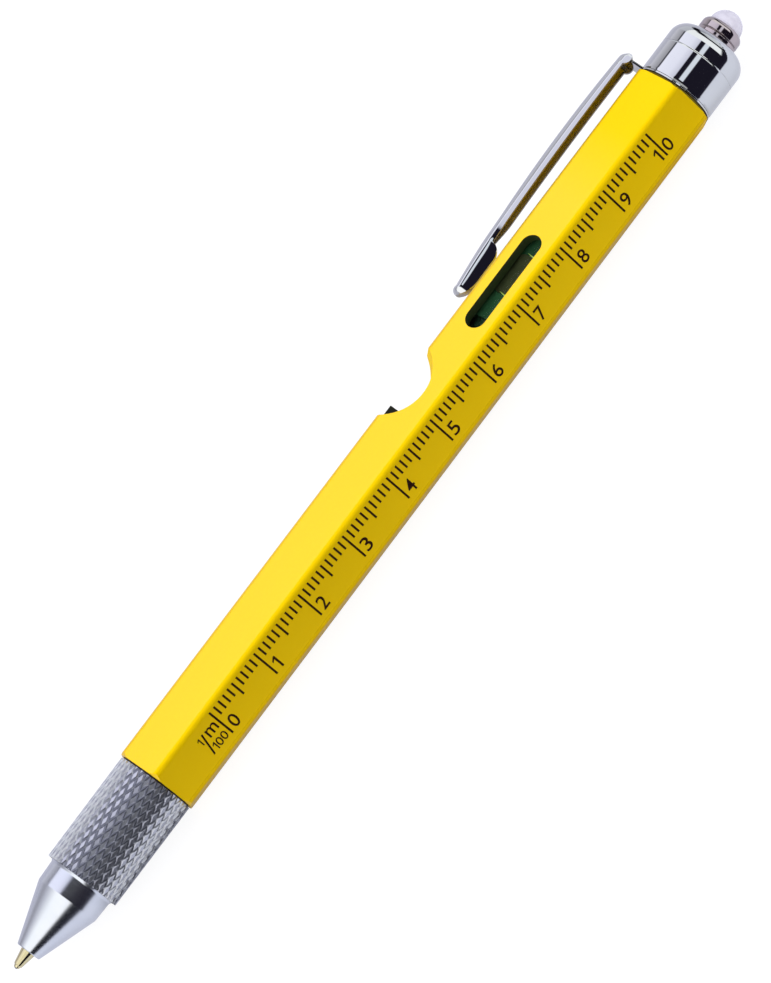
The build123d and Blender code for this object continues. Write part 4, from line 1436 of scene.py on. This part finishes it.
sheets.append(figure_one(UNIT_ONE, RULER_ZERO - 4.14, RULER_FOOT + 2.30))
sheets.append(figure_one(UNIT, RULER_ZERO - 3.15, RULER_FOOT + 0.18))
sheets.append(printed("00", UNIT, 1.95, RULER_ZERO - 2.50, RULER_FOOT + 0.18))
sheets.append(printed("m", UNIT, 1.91, RULER_ZERO - 2.45, RULER_FOOT + 2.16))
sheets.append(inked([(RULER_ZERO + x, RULER_FOOT + y) for x, y in SLASH]))
numbers = bmesh.new()
for figure_mesh in sheets:
    numbers.from_mesh(figure_mesh)
numbers_mesh = bpy.data.meshes.new("ruler_numbers")
numbers.to_mesh(numbers_mesh)
numbers.free()
ruler_numbers = make_object("ruler_numbers", numbers_mesh, print_ink)
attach(ruler_numbers, "barrel")
print("figures:", len(sheets), "faces", len(numbers_mesh.polygons))

# %% [markdown]
# ## The clip seen from the side
#
# The arm is pressed from sheet into a channel: a rounded back, two flanges, a solid boat-shaped foot
# and a blunt tip. It bows away from the barrel. Its side view is made of circles, so each curve is
# given by three of its points: x, and height over the barrel's clip face, in millimetres.

# %% Clip outline
CLIP_TIP, CLIP_ROOT = 18.78, 60.6
NOSE_TOP, NOSE_FRONT, NOSE_FOOT = (19.82, 2.41), (18.80, 1.50), (19.20, 1.03)
HIGHEST = (48.0, 3.98)
FLANGE_START, FLANGE_MIDDLE, FLANGE_END = (27.6, 1.78), (44.06, 2.23), (58.9, 2.23)
EAR_LOW, EAR_END = (59.75, 1.55), (60.6, 1.85)
PAD_START, PAD_END, PAD_HEIGHT = 21.9, 25.4, 0.05
FRONT_BOW, BACK_BOW = 4.2, 2.39
ROOT_PLACE, ROOT_RADIUS = 59.7, 0.90


def circle_through(a, b, c):
    """Centre and radius of the circle through three (x, height) points."""
    ax, ay, bx, by, cx, cy = *a, *b, *c
    d = 2 * (ax * (by - cy) + bx * (cy - ay) + cx * (ay - by))
    ux = ((ax**2 + ay**2) * (by - cy) + (bx**2 + by**2) * (cy - ay) + (cx**2 + cy**2) * (ay - by)) / d
    uy = ((ax**2 + ay**2) * (cx - bx) + (bx**2 + by**2) * (ax - cx) + (cx**2 + cy**2) * (bx - ax)) / d
    return ux, uy, math.hypot(ax - ux, ay - uy)


def on_circle(circle, x, side):
    """Height of a circle at x, on its upper side (+1) or lower side (-1)."""
    return circle[1] + side * math.sqrt(max(circle[2] ** 2 - (x - circle[0]) ** 2, 0.0))


BACK = circle_through((ROOT_PLACE, 3.70), HIGHEST, NOSE_TOP)
NOSE = circle_through(NOSE_TOP, NOSE_FRONT, NOSE_FOOT)
FLANGE = circle_through(FLANGE_START, FLANGE_MIDDLE, FLANGE_END)
EAR = circle_through(FLANGE_END, EAR_LOW, EAR_END)
BOW_FRONT = (PAD_START, PAD_HEIGHT + FRONT_BOW, FRONT_BOW)
BOW_BACK = (PAD_END, PAD_HEIGHT + BACK_BOW, BACK_BOW)
ROOT_ROUND = (ROOT_PLACE, 2.80, ROOT_RADIUS)
print("the clip's back is an arc of %.0f mm radius" % BACK[2])


# %% Clip outline at a place
def top_of_clip(x):
    """Height of the back: nose, long bow, and the round at the root."""
    if x > ROOT_PLACE:
        return on_circle(ROOT_ROUND, x, 1)
    return on_circle(BACK, x, 1) if x > NOSE_TOP[0] else on_circle(NOSE, x, 1)


def foot_of_clip(x):
    """Height of the lower edge: nose, boat-shaped foot on its flat pad, flange and ear."""
    if x < NOSE_FOOT[0]:
        return on_circle(NOSE, x, -1)
    if x < PAD_START:
        return on_circle(BOW_FRONT, x, -1)
    if x < PAD_END:
        return PAD_HEIGHT
    if x < FLANGE_START[0]:
        return on_circle(BOW_BACK, x, -1)
    return on_circle(FLANGE, x, 1) if x < FLANGE_END[0] else on_circle(EAR, x, -1)


TIP_HALF, ROOT_ADDS, TIP_ROUND = 1.8, 0.55, 1.3


def widening(x):
    """How much wider half of the arm is at x than at its tip."""
    return ROOT_ADDS * (x - CLIP_TIP) / (CLIP_ROOT - CLIP_TIP)


def half_width(x):
    """Half of the arm's width: it widens towards the root, and its tip is rounded."""
    wide = TIP_HALF + widening(x)
    short = TIP_ROUND - (x - CLIP_TIP)
    return wide - TIP_ROUND + math.sqrt(max(TIP_ROUND**2 - short**2, 0.0)) if short > 0 else wide


print("clip %.1f mm long, %.2f high at its crown" % (CLIP_ROOT - CLIP_TIP, top_of_clip(HIGHEST[0])))

# %% [markdown]
# ## Rolled on its ring
#
# In the photograph the arm is turned a little away from the level's face, as if its ring had been
# pressed on with a slight turn. So every point is turned by 9 degrees about a line over the clip face,
# except at the foot, which rests flat on the barrel.


# %% Clip placed on the barrel
ROLL = math.radians(9)
ROLL_SIDE, ROLL_HEIGHT = 1.2, 2.0


def ease(x, begin, end):
    """0 before begin, 1 after end, and smooth between."""
    share = min(max((x - begin) / (end - begin), 0.0), 1.0)
    return share * share * (3 - 2 * share)


def clip_point(x, height, side, roll):
    """A point given by its height over the clip face and its distance sideways, after the roll."""
    dside, dheight = side - ROLL_SIDE, height - ROLL_HEIGHT
    side = ROLL_SIDE + dside * math.cos(roll) - dheight * math.sin(roll)
    out = FACE_RADIUS + ROLL_HEIGHT + dside * math.sin(roll) + dheight * math.cos(roll)
    return Vector((x, out * COS30 - side / 2, AXIS_HEIGHT + out / 2 + side * COS30)) * MM


print("clip rolled by %.0f degrees" % math.degrees(ROLL))

# %% [markdown]
# ## The clip's cross-section
#
# Half of the outer outline is worked out from the middle of the back to the side: a shallow crown, a
# small round corner, and a side wall. On the channel the wall splays out by 4 degrees. On the foot it
# is tucked in like a boat's hull, which is what makes the dark patch with a pale line above it.

# %% Outside of the clip
CORNER = 0.45
CORNER_OF_HEIGHT, CORNER_OF_WIDTH, CORNER_BITE = 0.3, 0.5, 0.9
CROWN_STEPS, CORNER_STEPS, SIDE_STEPS = 12, 8, 12
SPLAY = math.tan(math.radians(4))
HULL_LEAN = 10
HULL_END = (27.5, 27.9)
CROWN_OF_HEIGHT, TIP_CROWN, CROWN_GROWS = 0.58, 0.28, 0.72
CROWN_RANGE = (CLIP_TIP + 2, CLIP_TIP + 22)
WALL_SHARE = 0.97
TUCK, TUCK_ROUND = 0.12, 0.036
EDGE_STEP = 0.04


def back_and_corner(x, bend, crown_half, corner):
    """Crown and corner as (height, side) points, with the side wall's top at the full half width."""
    top, wide = top_of_clip(x), half_width(x)
    last = math.asin(min(crown_half / bend, 1.0))
    upright = math.radians(90 - HULL_LEAN * (1 - ease(x, *HULL_END)))
    half = []
    for step in range(CROWN_STEPS + 1):
        lean = last * step / CROWN_STEPS
        half.append((top - bend + bend * math.cos(lean), bend * math.sin(lean)))
    centre = (half[-1][0] - corner * math.cos(last), half[-1][1] - corner * math.sin(last))
    for step in range(1, CORNER_STEPS + 1):
        lean = last + max(upright - last, 0.0) * step / CORNER_STEPS
        half.append((centre[0] + corner * math.cos(lean), centre[1] + corner * math.sin(lean)))
    return [(height, side * wide / half[-1][1]) for height, side in half]


def side_wall(x, start_height, start_side):
    """The side from the corner down to the foot edge: splayed on the channel, a hull on the foot."""
    hull = 1 - ease(x, *HULL_END)
    drop = start_height - foot_of_clip(x)
    wall = []
    for step in range(1, SIDE_STEPS + 1):
        share = step / SIDE_STEPS * WALL_SHARE
        tuck = TUCK * share - TUCK_ROUND * (1 - (1 - share) ** 8)
        out = (1 - hull) * SPLAY * share - hull * tuck
        wall.append((start_height - drop * share, start_side + drop * out))
    wall.append((foot_of_clip(x), wall[-1][1] - EDGE_STEP))
    return wall


print("outside of the clip: %d points to a half" % (CROWN_STEPS + CORNER_STEPS + SIDE_STEPS + 2))

# %% [markdown]
# ## Inside of the clip
#
# The channel's inside follows the crown one sheet thickness below it. On the foot there is no inside,
# so the same points all lie on the foot's flat underside. Then the half outline is mirrored.

# %% Inside of the clip
SHEET_THICKNESS = 0.45
INNER_HALF, INNER_OF_WIDTH = 1.3, 0.8
INNER_FIRST = CROWN_STEPS + 1 + CORNER_STEPS + SIDE_STEPS
INNER_FACES = range(INNER_FIRST, INNER_FIRST + 10)
UNROLLED_FOOT = (26.0, 32.0)


def inner_wall(x, bend, hollow):
    """The inner wall's foot, then the roof in three points to the middle."""
    top, foot = top_of_clip(x), foot_of_clip(x)
    inside = min(INNER_HALF + widening(x), INNER_OF_WIDTH * half_width(x))
    inner = [(foot, inside)]
    for share in (1.0, 0.66, 0.33):
        reach = inside * share
        roof = top - bend + math.sqrt(bend**2 - reach**2) - SHEET_THICKNESS
        inner.append((roof if hollow else foot, reach))
    inner.append((top - SHEET_THICKNESS if hollow else foot, 0.0))
    return inner


def clip_section(x, hollow):
    """One closed cross-section of the arm, as points on the barrel."""
    wide, tall = half_width(x), top_of_clip(x) - foot_of_clip(x)
    corner = min(CORNER, CORNER_OF_HEIGHT * tall, CORNER_OF_WIDTH * wide)
    crown = min(CROWN_OF_HEIGHT * tall, TIP_CROWN + CROWN_GROWS * ease(x, *CROWN_RANGE))
    crown_half = wide - CORNER_BITE * corner
    bend = (crown_half**2 + crown**2) / (2 * crown)
    half = back_and_corner(x, bend, crown_half, corner)
    half += side_wall(x, *half[-1])
    half += inner_wall(x, bend, hollow)
    far = [(height, -side) for height, side in half[-2:0:-1]]
    roll = ROLL * ease(x, *UNROLLED_FOOT)
    return [clip_point(x, height, side, roll) for height, side in half + far]


print("points in a cross-section:", len(clip_section(HIGHEST[0], True)))

# %% [markdown]
# ## The clip arm
#
# The arm is lofted: one cross-section is worked out for each place along it, and neighbours are
# joined, so that the long reflections stay clean. Places lie closest where the tip and the root turn.


# %% Clip arm
def evenly(first, last, count):
    """So many places from first to last, with the first one left out."""
    return [first + (last - first) * step / count for step in range(1, count + 1)]


TIP_ROUND_END = CLIP_TIP + TIP_ROUND
FOOT_END, EAR_START = FLANGE_START[0], FLANGE_END[0]
ROOT_START = CLIP_ROOT - 0.3
solid = [CLIP_TIP + TIP_ROUND * (1 - math.cos(math.radians(90 * step / 20))) for step in range(21)]
solid += evenly(TIP_ROUND_END, FOOT_END, 40)
hollow = [FOOT_END] + evenly(FOOT_END, EAR_START, 60) + evenly(EAR_START, ROOT_START, 14)
root = [ROOT_START + (CLIP_ROOT - ROOT_START) * math.sin(math.radians(90 * step / 10)) for step in range(11)]
sections = [clip_section(x, False) for x in solid]
sections += [clip_section(x, True) for x in hollow]
sections += [clip_section(x, False) for x in root]
clip_bm = bmesh.new()
loops = [[clip_bm.verts.new(point) for point in section] for section in sections]
# Faces of the inside, and of the foot's underside, take the chrome with painted shade.
for number, face in enumerate(join_rows(clip_bm, loops)):
    face.material_index = int(number % len(loops[0]) in INNER_FACES)
clip_bm.faces.new(loops[-1])
clip_bm.faces.new(loops[0])
bmesh.ops.remove_doubles(clip_bm, verts=clip_bm.verts, dist=0.0005 * MM)
bmesh.ops.recalc_face_normals(clip_bm, faces=clip_bm.faces)
clip = make_object("clip_arm_pressed", mesh_of(clip_bm, "clip_arm_pressed", 35), chrome)
clip.data.materials.append(shaded_chrome)
stand_for(clip, "clip_arm", "clip")
print("clip faces:", len(clip.data.polygons))

# %% [markdown]
# ## Smooth copies
#
# The barrel and the opener's tooth have the right shape already. Their meshes are loose triangles,
# which shade flat, so a copy is joined at its corners and shaded smooth except across real edges.


# %% Smooth copies of CAD nodes
def smooth_copy(name, node, body, sharp_degrees=25):
    """The node's own shape with joined corners and smooth shading."""
    bm = bmesh.new()
    bm.from_mesh(frame["nodes"][node].data)
    bmesh.ops.remove_doubles(bm, verts=bm.verts, dist=0.0005 * MM)
    points = [vertex.co.copy() for vertex in bm.verts]
    faces = [[corner.index for corner in face.verts] for face in bm.faces]
    bm.free()
    mesh = bpy.data.meshes.new(name)
    mesh.from_pydata(points, [], faces)
    shade(mesh, sharp_degrees)
    piece = make_object(name, mesh, FINISHES[SLOT_OF[node]])
    stand_for(piece, node, body)
    print(name, len(points), "points,", len(faces), "faces")
    return piece


def second_finish(piece, material, wanted):
    """Gives another finish to the faces whose middle, in millimetres, the test picks."""
    piece.data.materials.append(material)
    for face in piece.data.polygons:
        if wanted(*(face.center / MM)):
            face.material_index = len(piece.data.materials) - 1


barrel = smooth_copy("hexagonal_barrel", "hex_barrel", "barrel")
smooth_copy("opener_tooth_steel", "opener_tooth", "barrel")

# %% [markdown]
# ## The level's dark seat
#
# In the photograph the slot is dark from wall to wall, so the walls of the slot and of the bore that
# the vial lies in are painted dark as shade instead of the yellow.

# %% Dark seat
LEVEL_START, LEVEL_END = 10, 40
SLOT_HALF, SLOT_LOW, SLOT_TOP = 1.64, 9, 11.69
SEAT_REACH = 4.5


def in_the_seat(x, y, z):
    """Walls of the slot, and of the bore round the vial."""
    in_slot = abs(y) < SLOT_HALF and SLOT_LOW < z < SLOT_TOP
    return LEVEL_START < x < LEVEL_END and (in_slot or from_axis(y, z) < SEAT_REACH)


# The slot's walls and the vial's bore get painted shade.
second_finish(barrel, seat_black, in_the_seat)
print("seat faces:", sum(face.material_index == 1 for face in barrel.data.polygons))

# %% [markdown]
# ## Edges, end and notch of the barrel
#
# The long edges lie furthest from the axis. Those on the ruler's side get the edge finish, and the
# one just below the ruler the duller one, a painted shade. The last 0.3 mm towards the cap are painted
# olive as shade, and the round wall of the opener's notch is a cut face without the blasted tooth. A
# later finish wins over an earlier one.

# %% Barrel finishes
EDGE_REACH = FACE_RADIUS / COS30 - 0.265
BELOW_RULER = -6
END_LENGTH, END_REACH = 0.3, 5.5
NOTCH_X, NOTCH_RADIUS, NOTCH_DEPTH = 4.15, 6.8, 3.4
NOTCH_OUT = FACE_RADIUS - NOTCH_DEPTH + NOTCH_RADIUS
barrel_end = span("hex_barrel")[1]


def from_notch(x, y, z):
    """Distance from the middle line of the notch's round wall."""
    return math.hypot(x - NOTCH_X, y * COS30 + (z - AXIS_HEIGHT) / 2 - NOTCH_OUT)


def on_cap_end(x, y, z):
    """The end face towards the cap, without the bore."""
    return x > barrel_end - END_LENGTH and from_axis(y, z) > END_REACH


second_finish(barrel, edge_yellow, lambda x, y, z: y < 0 and from_axis(y, z) > EDGE_REACH)
second_finish(barrel, shaded_edge, lambda x, y, z: y < BELOW_RULER and from_axis(y, z) > EDGE_REACH)
second_finish(barrel, end_olive, on_cap_end)
second_finish(barrel, cut_yellow, lambda x, y, z: -0.3 < from_notch(x, y, z) - NOTCH_RADIUS < 0.02)
print("faces of each finish:", [sum(f.material_index == i for f in barrel.data.polygons) for i in range(6)])

# %% [markdown]
# ## The clip's ring
#
# A thin ring between barrel and cap carries the clip on a square tab. It stands between two narrow
# grooves whose bottoms are painted dark as shade. The ring is spun, and the tab is a block with broken
# edges, rolled with the clip.

# %% Clip ring and tab
GROOVE_DEPTH = 0.32
NEAR_GROOVE, FAR_GROOVE = 0.18, 0.02
TAB_LOW, TAB_TOP, TAB_HALF = -0.6, 2.62, 1.55
TAB_INSET, TAB_EDGE = 0.04, 0.06
ring_start, ring_end, ring_radius = barrel_end, sleeve_start, cap_radius
ring_profile = [
    (ring_start, CAP_BORE),
    (ring_start, ring_radius - GROOVE_DEPTH),
    (ring_start + NEAR_GROOVE, ring_radius - GROOVE_DEPTH),
    (ring_start + NEAR_GROOVE, ring_radius, 0.05),
    (ring_end - FAR_GROOVE, ring_radius, 0.05),
    (ring_end - FAR_GROOVE, ring_radius - GROOVE_DEPTH),
    (ring_end, ring_radius - GROOVE_DEPTH),
    (ring_end, CAP_BORE),
]
ring_bm = bmesh.new()
ring_bm.from_mesh(spun_mesh("clip_ring_turned", supported(rounded(ring_profile)), 256))
made = bmesh.ops.create_cube(ring_bm, size=1.0)["verts"]
for vertex in made:
    place = vertex.co + Vector((0.5, 0.5, 0.5))
    x = ring_start + TAB_INSET + place.x * (ring_end - ring_start - 2 * TAB_INSET)
    height = TAB_LOW + place.z * (TAB_TOP - TAB_LOW)
    vertex.co = clip_point(x, height, TAB_HALF * (2 * place.y - 1), ROLL)
tab_edges = [edge for edge in ring_bm.edges if all(vertex in made for vertex in edge.verts)]
bmesh.ops.bevel(ring_bm, geom=tab_edges, offset=TAB_EDGE * MM, segments=3, affect="EDGES")
bmesh.ops.recalc_face_normals(ring_bm, faces=ring_bm.faces)
clip_ring = make_object("clip_ring_and_tab", mesh_of(ring_bm, "clip_ring_and_tab"), chrome)
# The bottoms of the ring's two grooves get painted shade.
second_finish(
    clip_ring, painted_groove_shade, lambda x, y, z: ring_radius - 0.4 < from_axis(y, z) < ring_radius - 0.25
)
stand_for(clip_ring, "clip_ring", "barrel")
print("ring faces:", len(clip_ring.data.polygons))

# %% [markdown]
# ## The bubble level
#
# Behind the slot lies a clear tube filled with green liquid. A round tube of liquid is a strong lens,
# which makes the liquid look as wide as the tube itself, so the wall is drawn thin and the liquid
# nearly as wide as the tube. The air bubble is a dent in the top of the liquid: flat underneath,
# because the liquid's surface is level, and round at its two ends.

# %% Level tube
THIN_WALL = 0.37
GAP = 0.02
vial_front, vial_back, vial_radius = span("level_vial")
liquid_front, liquid_back = span("level_liquid")[:2]
liquid_radius = vial_radius - THIN_WALL
turned_piece(
    "level_tube",
    "level_vial",
    "barrel",
    [
        (vial_front, liquid_radius + GAP, 0.1),
        (vial_front, vial_radius, 0.15),
        (vial_back, vial_radius, 0.15),
        (vial_back, liquid_radius + GAP, 0.1),
    ],
    160,
)

# %% Liquid with its dent
BUBBLE_HALF, BUBBLE_END, BUBBLE_DEPTH = 3.35, 1.0, 0.75
LIQUID_SIDES = 144
FINE_STEPS, FINE_REACH = 42, 4.2
bubble_middle = (liquid_front + liquid_back) / 2


def liquid_top(x):
    """Height over the axis of the liquid's surface at x: low under the bubble, full elsewhere."""
    beyond = abs(x - bubble_middle) - (BUBBLE_HALF - BUBBLE_END)
    if beyond <= 0:
        return liquid_radius - BUBBLE_DEPTH
    share = min(beyond / BUBBLE_END, 1.0)
    return liquid_radius - BUBBLE_DEPTH * math.sqrt(1 - share**2)


fine = [bubble_middle + FINE_REACH * (step - FINE_STEPS) / FINE_STEPS for step in range(2 * FINE_STEPS + 1)]
level_bm = bmesh.new()
rows = []
for x in [liquid_front, liquid_front + 2.0] + fine + [liquid_back - 2.0, liquid_back]:
    ring = []
    for step in range(LIQUID_SIDES):
        turn = 2 * math.pi * step / LIQUID_SIDES
        across, up = liquid_radius * math.sin(turn), liquid_radius * math.cos(turn)
        ring.append(level_bm.verts.new(Vector((x, -across, AXIS_HEIGHT + min(up, liquid_top(x)))) * MM))
    rows.append(ring)
join_rows(level_bm, rows)
level_bm.faces.new(rows[0])
level_bm.faces.new(rows[-1])
bmesh.ops.recalc_face_normals(level_bm, faces=level_bm.faces)
level_mesh = mesh_of(level_bm, "level_liquid_with_bubble", 40)
liquid = make_object("level_liquid_with_bubble", level_mesh, green_liquid)
stand_for(liquid, "level_liquid", "barrel")
print("bubble %.1f mm long at x %.1f" % (2 * BUBBLE_HALF, bubble_middle))

# %% [markdown]
# ## The air in the bubble
#
# The air in the dent looks grey against the green liquid, from the dark far wall behind it. It is a body
# of its own, painted with that shade, that fills the dent up to the tube: each cross-section is an arc
# that closes along the flat of the liquid.

# %% Air bubble
AIR_STEPS, ARC_STEPS = 30, 32
AIR_INSET = 0.06
air_radius = liquid_radius - GAP / 2
air_bm = bmesh.new()
air_rows = []
for step in range(2 * AIR_STEPS + 1):
    turn = math.radians(90 * (step - AIR_STEPS) / AIR_STEPS)
    x = bubble_middle + (BUBBLE_HALF - AIR_INSET) * math.sin(turn)
    spread = math.acos(min((liquid_top(x) + GAP) / air_radius, 0.9999))
    air_row = []
    for index in range(ARC_STEPS + 1):
        a = -spread + 2 * spread * index / ARC_STEPS
        across, up = air_radius * math.sin(a), air_radius * math.cos(a)
        air_row.append(air_bm.verts.new(Vector((x, -across, AXIS_HEIGHT + up)) * MM))
    air_rows.append(air_row)
join_rows(air_bm, air_rows)
air_bm.faces.new(air_rows[0])
air_bm.faces.new(air_rows[-1])
bmesh.ops.recalc_face_normals(air_bm, faces=air_bm.faces)
air = make_object("level_air", mesh_of(air_bm, "level_air", 40), air_grey)
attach(air, "barrel")
print("air faces:", len(air.data.polygons))

# %% [markdown]
# ## Bright edges of the bubble
#
# Where the liquid climbs the tube at the bubble's two ends it bends the light and makes a bright
# sickle. It is a thin thread here: a curve that lies on the tube, leans outwards, and thins out.

# %% Bubble edges
EDGE_POINTS = 11
EDGE_Y, EDGE_RUN = -0.7, 1.5
EDGE_THICKNESS, EDGE_THINS = 0.13, 0.6
LEANS = {"bubble_edge_front": (-BUBBLE_HALF, 0.25), "bubble_edge_rear": (BUBBLE_HALF, 0.2)}
for name, (place, lean) in LEANS.items():
    curve = bpy.data.curves.new(name, "CURVE")
    curve.dimensions = "3D"
    curve.bevel_depth = EDGE_THICKNESS * MM
    curve.bevel_resolution = 3
    curve.use_fill_caps = True
    thread = curve.splines.new("POLY")
    thread.points.add(EDGE_POINTS)
    for step, point in enumerate(thread.points):
        share = step / EDGE_POINTS
        x = bubble_middle + place + lean * share**1.5
        y = EDGE_Y + EDGE_RUN * share
        z = AXIS_HEIGHT + math.sqrt((liquid_radius - 2 * GAP) ** 2 - y**2)
        point.co = (x * MM, y * MM, z * MM, 1)
        point.radius = 1.0 - EDGE_THINS * share
    holder = bpy.data.objects.new(name + "_line", curve)
    scene.collection.objects.link(holder)
    sickle = plain_mesh(holder)
    sickle.materials.clear()
    edge = make_object(name, sickle, bright_edge)
    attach(edge, "barrel")
    print(name, len(sickle.polygons), "faces")

# %% [markdown]
# ## The lamp's spring
#
# Pressing the lamp pushes its board 1 mm into the cap, and the spring under it gives way by the same
# 1 mm. Here the coil is a smooth copy with a mesh of its own, on the barrel's body.

# %% Lamp spring
lamp_coil = smooth_copy("lamp_return_spring", "lamp_spring", "barrel", 60)
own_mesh(lamp_coil)

# %% [markdown]
# ## Sizes at the end
#
# The dressed pen must stay inside the CAD model's box, so both boxes are written down side by side.

# %% Sizes and finish
visual_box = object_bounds()
for name, box in (("CAD", cad_box), ("visual", visual_box)):
    print(name, ["%.2f" % ((high - low) / MM) for low, high in zip(*box)])
